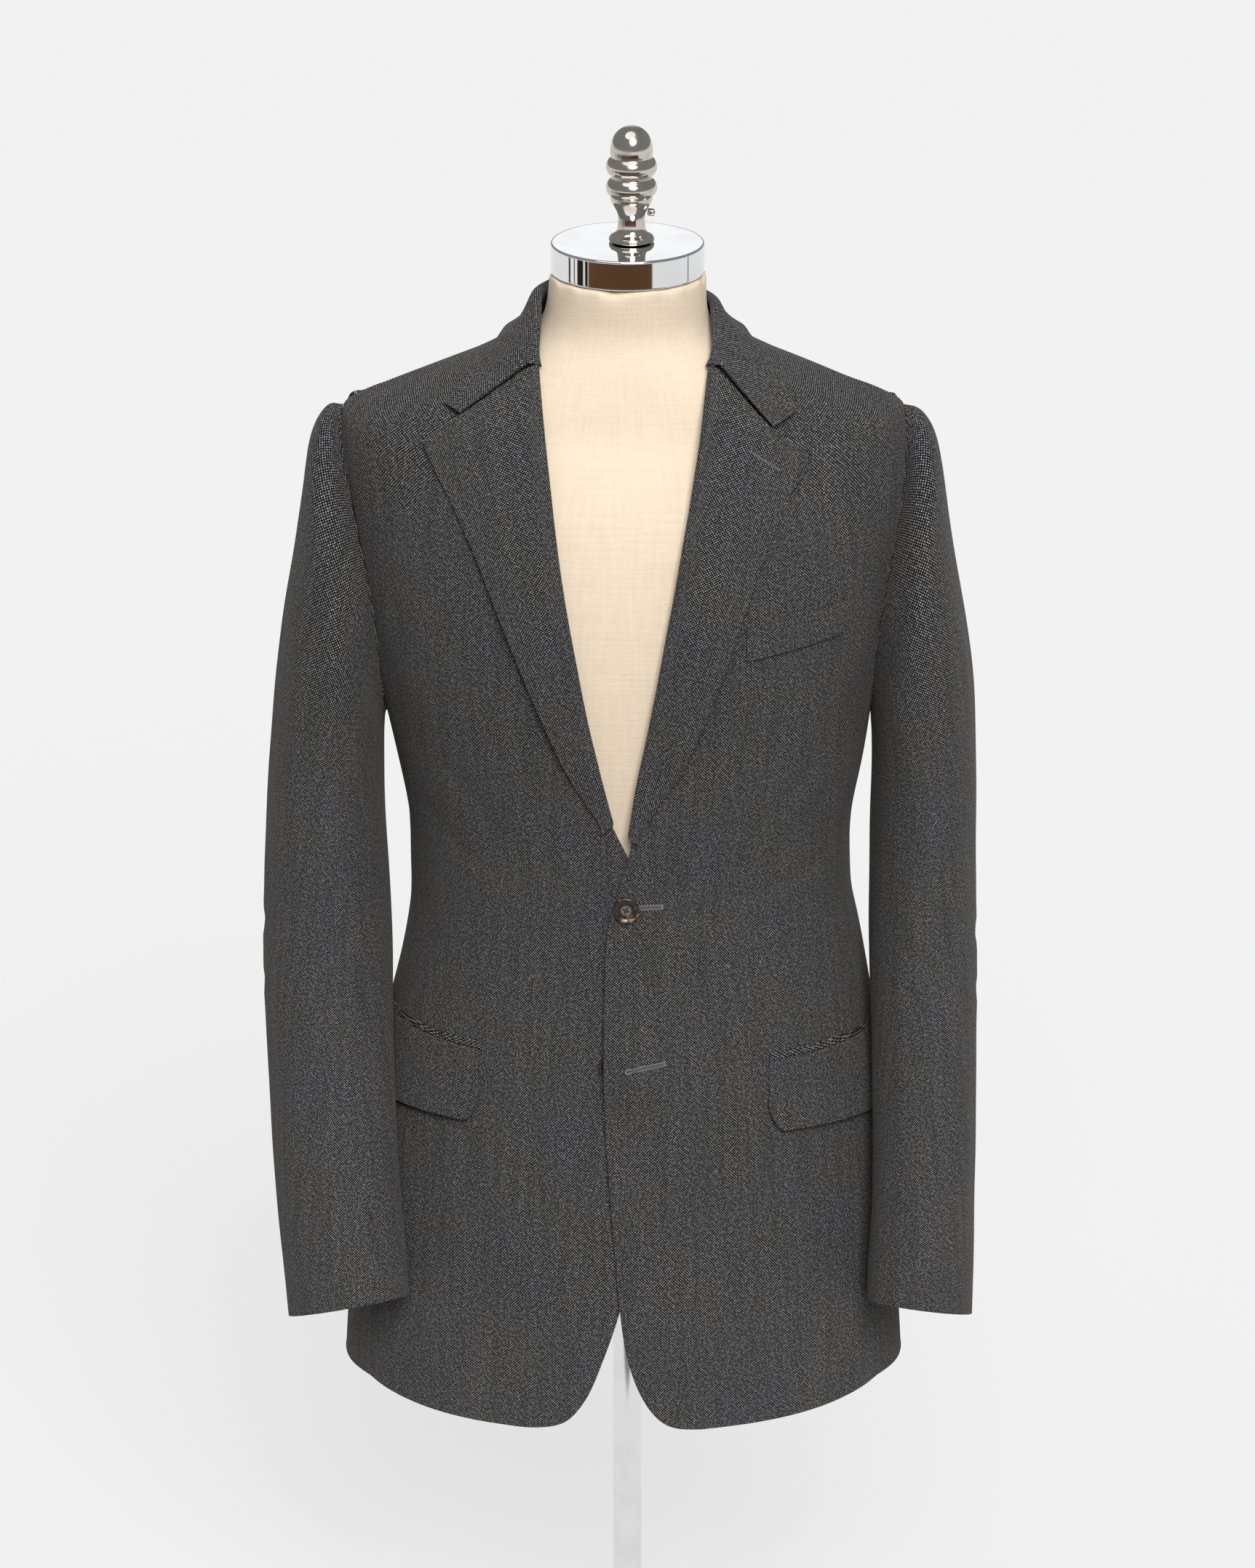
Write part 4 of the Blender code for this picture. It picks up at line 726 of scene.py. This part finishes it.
def layCreases(skin, rows):
    # moves the cloth in and out along its own normals, and leaves it a little uneven all over
    spots, facing = points(skin.data), normals(skin.data)
    move = np.zeros(len(spots))
    for view, fromAcross, fromHeight, toAcross, toHeight, width, depth, bow in rows:
        across, seen, side = views[view]
        flat = spots[:, (across, 2)]
        start, end = np.array([fromAcross, fromHeight]), np.array([toAcross, toHeight])
        reach = 4 * width + abs(bow)
        near = np.all((flat > np.minimum(start, end) - reach) & (flat < np.maximum(start, end) + reach), axis=1)
        near &= facing[:, seen] * side > 0.1
        if not near.any():
            continue
        flat, turned = flat[near], facing[near, seen] * side
        run = end - start
        length = np.linalg.norm(run)
        run = run / length
        off = flat - start
        along = off @ run / length
        bent = off @ np.array([-run[1], run[0]]) - bow * 4 * along * (1 - along)
        past = np.maximum(np.abs(along - 0.5) - 0.5, 0.0) * length
        away = np.hypot(bent, past)
        shape = np.exp(-(away / width) ** 2) - 0.42 * np.exp(-(away / (2.2 * width)) ** 2)
        fade = np.clip(1.15 - np.abs(along - 0.45) * 1.7, 0.0, 1.0)
        hold = np.clip((turned - 0.1) / 0.35, 0.0, 1.0)
        move[near] -= depth * 1.5 * shape * fade * hold
    x, y, z = spots.T
    uneven = np.sin(37 * x + 23 * z + 5 * y) * np.sin(29 * z - 31 * x + 2) + 0.6 * np.sin(83 * z + 61 * x + 47 * y)
    setPoints(skin.data, spots + facing * (move + cloth["uneven"] * uneven)[:, None])


# Where an edge stands off what it lies on: how far, over what distance from its line, and between which heights.
# far is the side of the piece that lifts: its outer edge, or the front edge towards the middle.
standing = {
    "lapel_left": {"far": "out", "lift": 0.0062, "reach": 0.034, "middle": 0.85, "tall": 0.12, "from": 0.752},
    "lapel_right": {"far": "out", "lift": 0.0042, "reach": 0.034, "middle": 0.85, "tall": 0.12, "from": 0.752},
    "front_left": {"far": "in", "lift": 0.0016, "reach": 0.012, "middle": 0.62, "tall": 0.20, "from": 0.40},
    "flap_left": {"far": "down", "lift": 0.0022, "reach": 0.030, "middle": 0.52, "tall": 0.10, "from": 0.40},
    "flap_right": {"far": "down", "lift": 0.0022, "reach": 0.030, "middle": 0.52, "tall": 0.10, "from": 0.40},
}


def standOff(skin, facts):
    spots = points(skin.data)
    out, up = np.abs(spots[:, 0]), spots[:, 2]
    if facts["far"] == "down":
        share = 1 - np.clip((up - up.min()) / facts["reach"], 0.0, 1.0)
    else:
        step = ((up - up.min()) / 0.004).astype(int)
        inner = np.full(step.max() + 1, 1.0)
        across = spots[:, 0] if facts["far"] == "in" else out
        np.minimum.at(inner, step, across)
        share = np.clip((across - inner[step]) / facts["reach"], 0.0, 1.0)
        if facts["far"] == "in":
            share = 1 - share
    height = np.exp(-((up - facts["middle"]) / facts["tall"]) ** 4)
    start = np.clip((up - facts["from"]) / 0.06, 0.0, 1.0)
    height = height * start ** 2 * (3 - 2 * start)
    spots[:, 1] -= facts["lift"] * share ** 2 * height
    setPoints(skin.data, spots)


# A lapel runs out to a narrow tip at the foot of its roll: from this height down, over this length
lapelTip = {"from": 0.80, "over": 0.05, "narrow": 0.42, "down": 0.010, "inward": 0.0028}


def drawTip(skin):
    spots = points(skin.data)
    side = math.copysign(1.0, spots[:, 0].mean())
    out, up = spots[:, 0] * side, spots[:, 2].copy()
    step = ((up - up.min()) / 0.003).astype(int)
    inner = np.full(step.max() + 1, 1.0)
    np.minimum.at(inner, step, out)
    inner = np.interp(up, up.min() + 0.003 * (np.arange(len(inner)) + 0.5), inner)
    share = np.clip((lapelTip["from"] - up) / lapelTip["over"], 0.0, 1.0) ** 2
    out = inner + (out - inner) * (1 - lapelTip["narrow"] * share) - lapelTip["inward"] * share
    spots[:, 0] = out * side
    spots[:, 2] -= lapelTip["down"] * share
    setPoints(skin.data, spots)


# The gorge seams: lapel and collar come level where they meet. line from, line to, how far forward, and reach
gorges = {
    "lapel_left": [((0.084, 1.066), (0.110, 1.043), 0.0011, 0.010)],
    "lapel_right": [((-0.100, 1.067), (-0.126, 1.053), 0.0011, 0.010)],
    "collar": [((0.084, 1.066), (0.112, 1.041), -0.0006, 0.009), ((-0.100, 1.067), (-0.128, 1.051), -0.0006, 0.009)],
}


def levelGorge(skin, lines):
    spots = points(skin.data)
    flat = spots[:, (0, 2)]
    for start, end, forward, reach in lines:
        start, run = np.array(start), np.array(end) - np.array(start)
        along = np.clip((flat - start) @ run / (run @ run), 0.0, 1.0)
        away = np.linalg.norm(flat - start - along[:, None] * run, axis=1)
        spots[:, 1] -= forward * np.exp(-(away / reach) ** 2)
    setPoints(skin.data, spots)


def weaveRim(skin, count):
    # the wall's edge faces get their own strip of weave, as wide as the cloth is thick
    mesh = skin.data
    layer = mesh.uv_layers["weave"].uv
    for face in mesh.polygons:
        outer = [loop for loop in face.loop_indices if mesh.loops[loop].vertex_index < count]
        if len(outer) != 2 or len(face.loop_indices) != 4:
            continue
        along = layer[outer[1]].vector - layer[outer[0]].vector
        if along.length > 0.0:
            aside = Vector((-along.y, along.x)).normalized() * cloth["thick"]
            for loop in set(face.loop_indices) - set(outer):
                layer[loop].vector += aside


def clothPiece(node):
    facts = clothCuts[node]
    skin = cadCopy("cloth_" + node, node)
    if node.startswith("back"):
        backWall(skin, node)
    else:
        outerWall(skin, node)
    layWeave(skin, facts["grain"])
    pinCorners(skin)
    smoothThrough(skin, cloth["backLift"] if node.startswith("back") else cloth["lift"])
    if node.startswith("lapel"):
        drawTip(skin)
    if node in standing:
        standOff(skin, standing[node])
    if node in gorges:
        levelGorge(skin, gorges[node])
    part = "sleeve_" + node.rsplit("_", 1)[1] if node.startswith("sleeve") else "body"
    layCreases(skin, creases[part])
    if node.startswith("sleeve_top"):
        easeHead(skin)
    closeSeams(skin, node)
    count = len(skin.data.vertices)
    applyModifier(skin, "SOLIDIFY", thickness=cloth["thick"], offset=-1.0)
    weaveRim(skin, count)
    sewn = node.startswith(("front", "side", "back", "sleeve"))
    applyModifier(skin, "BEVEL", width=cloth["seam" if sewn else "edge"], segments=2, limit_method="ANGLE",
                  angle_limit=math.radians(50))
    smoothRound(skin)
    finished(skin, tweed, "tweed", node)
    return skin


def clothStrip(node):
    # a narrow folded strip: the whole solid, its folds rounded
    strip = cadCopy("cloth_" + node, node)
    applyModifier(strip, "BEVEL", width=0.0005, segments=2, limit_method="ANGLE", angle_limit=math.radians(40))
    applyModifier(strip, "SUBSURF", levels=2, render_levels=2)
    layer = strip.data.uv_layers[0] if strip.data.uv_layers else strip.data.uv_layers.new()
    layer.name = "weave"
    for loop in strip.data.loops:
        spot = strip.data.vertices[loop.vertex_index].co
        layer.uv[loop.index].vector = (spot.x - spot.y * math.copysign(0.6, spot.x), spot.z)
    smoothRound(strip, 60)
    finished(strip, tweed, "tweed", node)
    return strip


for node in clothCuts:
    if node.startswith("jet"):
        clothStrip(node)
    else:
        clothPiece(node)
print("cloth made")


# The form's torso, smooth under its linen
def torso():
    made = cadCopy("form_linen", "form_torso")
    applyModifier(made, "SUBSURF", levels=2, render_levels=2)
    layer = made.data.uv_layers[0] if made.data.uv_layers else made.data.uv_layers.new()
    layer.name = "weave"
    spots = points(made.data)
    for face in made.data.polygons:
        middle = math.atan2(face.center.x, -face.center.y)
        for loop in face.loop_indices:
            spot = spots[made.data.loops[loop].vertex_index]
            angle = math.atan2(spot[0], -spot[1])
            angle += 2 * math.pi * round((middle - angle) / (2 * math.pi))
            layer.uv[loop].vector = (angle * 0.06, spot[2])
    smoothRound(made, 60)
    return finished(made, linen, "linen", "form_torso")


torso()


# Neck cap, pole and base: polished chrome rounds with their rims eased
rounds = {
    "neck_cap": {"round": 128, "rim": 0.0016, "steps": 4},
    "pole": {"round": 48, "rim": 0.0004, "steps": 2},
    "base": {"round": 160, "rim": 0.0024, "steps": 4},
}


def chromeRound(node):
    facts = rounds[node]
    low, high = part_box(node)
    bpy.ops.object.select_all(action="DESELECT")
    bpy.ops.mesh.primitive_cylinder_add(
        vertices=facts["round"], radius=(high.x - low.x) / 2, depth=high.z - low.z, location=(low + high) / 2)
    made = bpy.context.object
    made.name = node + "_chrome"
    edit(made)
    bpy.ops.mesh.select_mode(type="EDGE")
    bpy.ops.mesh.edges_select_sharp(sharpness=math.radians(60))
    bpy.ops.mesh.bevel(offset=facts["rim"], segments=facts["steps"], profile=0.5)
    bpy.ops.mesh.select_all(action="DESELECT")
    selectFaces(made, lambda face: abs(face.normal.z) > 0.99)
    bpy.ops.mesh.inset(thickness=facts["rim"] * 0.5)
    bpy.ops.mesh.select_all(action="DESELECT")
    selectFaces(made, lambda face: abs(face.normal.z) < 0.01)
    bpy.ops.mesh.inset(thickness=facts["rim"] * 0.3)
    leave()
    applyPlace(made)
    smoothRound(made, 35)
    return finished(made, chrome, "chrome", node)


for node in rounds:
    chromeRound(node)


# Finial, pulled up ring by ring from its foot: radius, and height over the cap
finial = {"round": 48, "foot": 0.0163}
finialRings = [
    (0.0168, 0.0010), (0.0168, 0.0030), (0.0160, 0.0036), (0.0160, 0.0042), (0.0150, 0.0048), (0.0128, 0.0060),
    (0.0108, 0.0080), (0.0101, 0.0110), (0.0100, 0.0160), (0.0101, 0.0200), (0.0108, 0.0228), (0.0128, 0.0262),
    (0.0150, 0.0300), (0.0157, 0.0325), (0.0157, 0.0340), (0.0154, 0.0346), (0.0172, 0.0358), (0.0187, 0.0382),
    (0.0190, 0.0410), (0.0187, 0.0438), (0.0174, 0.0464), (0.0154, 0.0482), (0.0150, 0.0490), (0.0156, 0.0500),
    (0.0176, 0.0522), (0.0188, 0.0546), (0.0190, 0.0570), (0.0187, 0.0596), (0.0175, 0.0622), (0.0158, 0.0638),
    (0.0153, 0.0644), (0.0156, 0.0652), (0.0159, 0.0680), (0.0158, 0.0710), (0.0153, 0.0745), (0.0143, 0.0780),
    (0.0126, 0.0812), (0.0102, 0.0838), (0.0072, 0.0860), (0.0036, 0.0873),
]


def makeFinial():
    low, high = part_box("finial")
    middle = (low + high) / 2
    bpy.ops.object.select_all(action="DESELECT")
    bpy.ops.mesh.primitive_circle_add(vertices=finial["round"], radius=finial["foot"], fill_type="NGON",
                                      location=(middle.x, middle.y, low.z))
    made = bpy.context.object
    made.name = "finial_nickel"
    bpy.ops.object.mode_set(mode="EDIT")
    radius, height = finial["foot"], 0.0
    for nextRadius, nextHeight in finialRings:
        bpy.ops.mesh.extrude_region_move(TRANSFORM_OT_translate={"value": (0, 0, nextHeight - height)})
        share = nextRadius / radius
        bpy.ops.transform.resize(value=(share, share, 1.0))
        radius, height = nextRadius, nextHeight
    bpy.ops.mesh.inset(thickness=radius * 0.5, depth=0.0003)
    bpy.ops.mesh.select_all(action="SELECT")
    bpy.ops.mesh.normals_make_consistent(inside=False)
    leave()
    applyPlace(made)
    applyModifier(made, "SUBSURF", levels=1, render_levels=1)
    smoothRound(made, 50)
    return finished(made, nickel, "nickel", "finial")


# A node's flat middle, and the turn that carries +Z to the way it faces
def seatOf(node, towards):
    spots = points(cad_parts[node].data)
    flat = np.linalg.svd(spots - spots.mean(0), full_matrices=False)[2]
    best = max(flat, key=lambda line: abs(line @ np.array(towards)))
    facing = best * math.copysign(1.0, best @ np.array(towards))
    depth = spots @ facing
    low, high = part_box(node)
    middle = np.array((low + high) / 2)
    seat = middle + facing * (depth.min() - middle @ facing)
    turn = Vector(facing).to_track_quat("Z", "Y").to_matrix().to_4x4()
    return Matrix.Translation(Vector(seat)) @ turn


# The finial's set screw: a hexagon socket in a round head
screw = {"radius": 0.0028, "length": 0.0046, "socket": 0.0013, "deep": 0.0016}


def makeScrew():
    bpy.ops.object.select_all(action="DESELECT")
    bpy.ops.mesh.primitive_cylinder_add(vertices=32, radius=screw["radius"], depth=screw["length"],
                                        location=(0, 0, screw["length"] / 2))
    made = bpy.context.object
    made.name = "finial_screw_nickel"
    applyPlace(made)
    edit(made)
    bpy.ops.mesh.select_mode(type="EDGE")
    bpy.ops.mesh.edges_select_sharp(sharpness=math.radians(60))
    bpy.ops.mesh.bevel(offset=0.0004, segments=3)
    leave()
    bpy.ops.mesh.primitive_cylinder_add(vertices=6, radius=screw["socket"], depth=2 * screw["deep"],
                                        location=(0, 0, screw["length"]))
    cutter = bpy.context.object
    applyModifier(made, "BOOLEAN", operation="DIFFERENCE", object=cutter)
    bpy.data.objects.remove(cutter)
    made.matrix_world = seatOf("finial_screw", (0.94, -0.34, 0.0))
    applyPlace(made)
    smoothRound(made, 35)
    return finished(made, nickel, "nickel", "finial_screw")


makeFinial()
makeScrew()
print("form made")


# Buttons: four holes, a rolled rim and a dished middle, sewn on with dark thread
button = {"foot": 0.0086, "radius": 0.0100, "holeAt": 0.00195, "hole": 0.00088, "turn": 20.0, "thread": 0.00030}


def strand(name, spots, radius):
    # a tube through these points, as a mesh: a real thread, or the painted shade of a buttonhole's slit
    curve = bpy.data.curves.new(name, "CURVE")
    curve.dimensions = "3D"
    curve.bevel_depth = radius
    curve.bevel_resolution = 2
    curve.use_fill_caps = True
    line = curve.splines.new("NURBS")
    line.points.add(len(spots) - 1)
    for point, spot in zip(line.points, spots):
        point.co = (*spot, 1.0)
    line.use_endpoint_u = True
    line.order_u = 3
    line.resolution_u = 6
    made = bpy.data.objects.new(name, curve)
    bpy.context.scene.collection.objects.link(made)
    pick(made)
    bpy.ops.object.convert(target="MESH")
    return bpy.context.object


def makeButton(node, label):
    seat = seatOf(node, (0.0, -1.0, 0.0))
    bpy.ops.object.select_all(action="DESELECT")
    bpy.ops.mesh.primitive_circle_add(vertices=64, radius=button["foot"], fill_type="NGON")
    made = bpy.context.object
    made.name = label + "_horn"
    bpy.ops.object.mode_set(mode="EDIT")
    wide = button["radius"] / button["foot"]
    for rise, share in ((0.0008, wide * 0.985), (0.0006, 1 / 0.985), (0.0008, 0.995), (0.0005, 0.975)):
        bpy.ops.mesh.extrude_region_move(TRANSFORM_OT_translate={"value": (0, 0, rise)})
        bpy.ops.transform.resize(value=(share, share, 1.0))
    for inward, rise in ((0.0007, 0.0004), (0.0008, 0.0), (0.0007, -0.0005), (0.0006, -0.0005), (0.0010, -0.0002)):
        bpy.ops.mesh.inset(thickness=inward, depth=rise)
    bpy.ops.mesh.select_all(action="SELECT")
    bpy.ops.mesh.normals_make_consistent(inside=False)
    leave()
    applyModifier(made, "SUBSURF", levels=2, render_levels=2)
    top = 0.0019
    for quarter in range(4):
        angle = math.radians(45 + 90 * quarter)
        spot = (button["holeAt"] * math.cos(angle), button["holeAt"] * math.sin(angle), 0.002)
        bpy.ops.object.select_all(action="DESELECT")
        bpy.ops.mesh.primitive_cylinder_add(vertices=20, radius=button["hole"], depth=0.01, location=spot)
        cutter = bpy.context.object
        applyModifier(made, "BOOLEAN", operation="DIFFERENCE", object=cutter)
        bpy.data.objects.remove(cutter)
    face = made.data.uv_layers[0] if made.data.uv_layers else made.data.uv_layers.new()
    face.name = "face"
    for loop in made.data.loops:
        spot = made.data.vertices[loop.vertex_index].co
        face.uv[loop.index].vector = (spot.x / button["radius"], spot.y / button["radius"])
    threads = []
    for angle in (45, 135):
        for side in (-1, 0, 1):
            way = Vector((math.cos(math.radians(angle)), math.sin(math.radians(angle)), 0.0))
            off = Vector((-way.y, way.x, 0.0)) * side * button["thread"] * 1.5
            far = button["holeAt"]
            over = 0.0005 + (0.0004 if angle == 45 else 0.0)
            shape = ((-far, 0.0004), (-far, top), (-far * 0.6, top + over), (0, top + over * 1.2),
                     (far * 0.6, top + over), (far, top), (far, 0.0004))
            spots = [way * across + off + Vector((0, 0, up)) for across, up in shape]
            threads.append(strand(label + "_thread", spots, button["thread"]))
    threads = joined(label + "_thread", threads)
    spin = Matrix.Rotation(math.radians(button["turn"]), 4, "Z")
    for piece in (made, threads):
        piece.matrix_world = seat @ spin
        applyPlace(piece)
    smoothRound(made, 30)
    smoothRound(threads, 60)
    finished(made, horn, "horn", node)
    finished(threads, darkThread, "tweed")


makeButton("button_top", "topButton")
makeButton("button_lower", "lowerButton")


# Worked buttonholes: two rows of close stitches with a near-black strand between them as painted shade of the slit, a
# bar across the end, and an eye on the lower one
stitch = {"wide": 0.00022, "pitch": 0.00050, "slit": 0.00030}
buttonholes = {
    "topHole": {"on": "cloth_front_left", "from": (0.0035, 0.6852), "to": (0.0250, 0.6858), "long": 0.0018, "eye": False},
    "lowerHole": {"on": "cloth_front_left", "from": (0.0012, 0.5600), "to": (0.0270, 0.5638), "long": 0.0016, "eye": True},
    "lapelHole": {"on": "cloth_lapel_left", "from": (0.0895, 1.0299), "to": (0.1109, 1.0153), "long": 0.0010, "eye": False},
}


def onCloth(name, x, z):
    # where a line from the front meets the cloth, and the way the cloth faces there
    hit, place, facing, _ = bpy.data.objects[name].ray_cast(Vector((x, -1.0, z)), Vector((0.0, 1.0, 0.0)))
    return place, facing


def makeButtonhole(label):
    facts = buttonholes[label]
    (fromX, fromZ), (toX, toZ) = facts["from"], facts["to"]
    length = math.hypot(toX - fromX, toZ - fromZ)
    reach = facts["long"]
    bpy.ops.object.select_all(action="DESELECT")
    bpy.ops.mesh.primitive_cylinder_add(vertices=8, radius=stitch["wide"], depth=reach)
    one = bpy.context.object
    edit(one)
    bpy.ops.mesh.select_mode(type="EDGE")
    bpy.ops.mesh.edges_select_sharp(sharpness=math.radians(60))
    bpy.ops.mesh.bevel(offset=stitch["wide"] * 0.6, segments=2)
    leave()
    stitches, slit = [], []
    count = round(length / stitch["pitch"])
    for step in range(count + 1):
        share = step / count
        place, facing = onCloth(facts["on"], fromX + (toX - fromX) * share, fromZ + (toZ - fromZ) * share)
        ahead, _ = onCloth(facts["on"], toX + (toX - fromX), toZ + (toZ - fromZ))
        along = (ahead - place).normalized()
        across = facing.cross(along).normalized()
        slit.append(place + facing * 0.0002)
        for side in (-1, 1):
            lean = 0.10 * math.sin(step * 2.3 + side)
            line = (across + along * lean).normalized()
            turn = line.to_track_quat("Z", "Y").to_matrix().to_4x4()
            spot = place + across * side * (reach * 0.5 + stitch["slit"]) + facing * stitch["wide"] * 0.45
            stitches.append((Matrix.Translation(spot) @ turn))
    bars = round(reach / 0.00036)
    for step in range(-bars, bars + 1):
        spot = place + across * step * 0.00036 + along * reach * 0.4 + facing * stitch["wide"] * 0.7
        turn = along.to_track_quat("Z", "Y").to_matrix().to_4x4()
        stitches.append(Matrix.Translation(spot) @ turn)
    if facts["eye"]:
        start, facing = onCloth(facts["on"], fromX, fromZ)
        for step in range(22):
            angle = math.radians(25 + 310 * step / 21)
            way = along * math.cos(angle) + across * math.sin(angle)
            spot = start + way * (reach * 0.5 + 0.0010) - along * 0.0010 + facing * stitch["wide"] * 0.4
            turn = way.to_track_quat("Z", "Y").to_matrix().to_4x4()
            stitches.append(Matrix.Translation(spot) @ turn)
    pieces = []
    for place in stitches:
        copy = bpy.data.objects.new(label, one.data.copy())
        bpy.context.scene.collection.objects.link(copy)
        copy.matrix_world = place
        pieces.append(copy)
    bpy.data.objects.remove(one)
    worked = joined(label, pieces)
    applyPlace(worked)
    smoothRound(worked, 60)
    finished(worked, greyThread, "tweed")
    if facts["eye"]:
        slit = [slit[0] - along * 0.0016] + slit
    # the slit is a near-black strand laid along the cut: painted shade of the opening between the stitch rows
    slitShade = strand(label + "_slit", slit, stitch["slit"])
    finished(slitShade, darkThread, "tweed")


for label in buttonholes:
    makeButtonhole(label)
print("buttons and buttonholes made")


# Floor and light: a pale floor, a key from the upper left, a soft fill, a panel behind, and dark screens for the chrome
light = {
    "key": {"from": (0.16, -1.0, 0.76), "width": 30.0, "power": 4.0},
    "top": {"from": (-0.10, -0.25, 1.0), "width": 50.0, "power": 0.75},
}
panel = {"place": (0.0, 3.8, 2.45), "wide": 1.5, "tall": 0.8, "power": 3.2}
screens = {"away": 2.0, "low": 0.20, "high": 0.80}
floor = {"colour": (0.15, 0.15, 0.15, 1.0), "glow": 0.69}
mat = {"size": (4.0, 1.8), "place": (0.0, -1.5, 0.0), "colour": (0.2, 0.2, 0.2, 1.0)}
# each screen's first and last bearing from the front, in degrees towards +X, and its colour
screenArcs = [
    (-60.0, 37.0, (0.30, 0.135, 0.05, 1.0)), (-66.0, -61.0, (0.012, 0.009, 0.007, 1.0)),
    (-80.0, -69.0, (0.012, 0.009, 0.007, 1.0)), (-87.0, -85.0, (0.05, 0.03, 0.015, 1.0)),
    (-98.0, -94.0, (0.05, 0.03, 0.015, 1.0)), (101.0, 103.0, (0.03, 0.03, 0.03, 1.0)),
]


def screen(number, start, end, colour):
    # an upright curved sheet, part of a wide ring round the form
    steps = max(2, round((end - start) / 6))
    spots, faces = [], []
    for step, angle in enumerate(np.radians(np.linspace(start, end, steps))):
        x, y = math.sin(angle) * screens["away"], -math.cos(angle) * screens["away"]
        spots += [(x, y, screens["low"]), (x, y, screens["high"])]
        if step:
            faces.append((2 * step - 2, 2 * step, 2 * step + 1, 2 * step - 1))
    mesh = bpy.data.meshes.new(f"screen{number}")
    mesh.from_pydata(spots, [], faces)
    made = bpy.data.objects.new(mesh.name, mesh)
    bpy.context.scene.collection.objects.link(made)
    material, tree, shader = newMaterial(made.name, Base_Color=colour, Roughness=0.7)
    mesh.materials.append(material)
    made.visible_camera = False


def flatSheet(name, size, place, **constants):
    # a level sheet under or before the form
    bpy.ops.object.select_all(action="DESELECT")
    bpy.ops.mesh.primitive_plane_add(size=1.0, location=place)
    made = bpy.context.object
    made.name = name
    made.scale = (size[0], size[1], 1.0)
    applyPlace(made)
    material, tree, shader = newMaterial(name, Specular_IOR_Level=0.1, Roughness=0.9, **constants)
    made.data.materials.append(material)
    return made


def studio():
    flatSheet("floor", (60.0, 60.0), (0.0, 0.0, -0.0005), Base_Color=floor["colour"],
              Emission_Color=(1.0, 1.0, 1.0, 1.0), Emission_Strength=floor["glow"])
    flatSheet("mat", mat["size"], mat["place"], Base_Color=mat["colour"]).visible_camera = False
    for number, (start, end, colour) in enumerate(screenArcs):
        screen(number, start, end, colour)
    for name, facts in light.items():
        data = bpy.data.lights.new(name, "SUN")
        data.angle = math.radians(facts["width"])
        data.energy = facts["power"]
        lamp = bpy.data.objects.new(name, data)
        lamp.rotation_euler = Vector(facts["from"]).to_track_quat("Z", "Y").to_euler()
        bpy.context.scene.collection.objects.link(lamp)
    data = bpy.data.lights.new("panel", "AREA")
    data.shape = "RECTANGLE"
    data.size, data.size_y = panel["wide"], panel["tall"]
    data.energy = panel["power"]
    lamp = bpy.data.objects.new("panel", data)
    lamp.location = panel["place"]
    lamp.rotation_euler = (Vector(panel["place"]) - Vector((0, 0, 1.0))).to_track_quat("Z", "Y").to_euler()
    bpy.context.scene.collection.objects.link(lamp)
    world = bpy.data.worlds.new("world")
    world.use_nodes = True
    background = world.node_tree.nodes["Background"]
    background.inputs["Color"].default_value = (0.93, 0.94, 0.95, 1.0)
    background.inputs["Strength"].default_value = 0.28
    bpy.context.scene.world = world
    bpy.context.scene.view_settings.view_transform = "Standard"


studio()
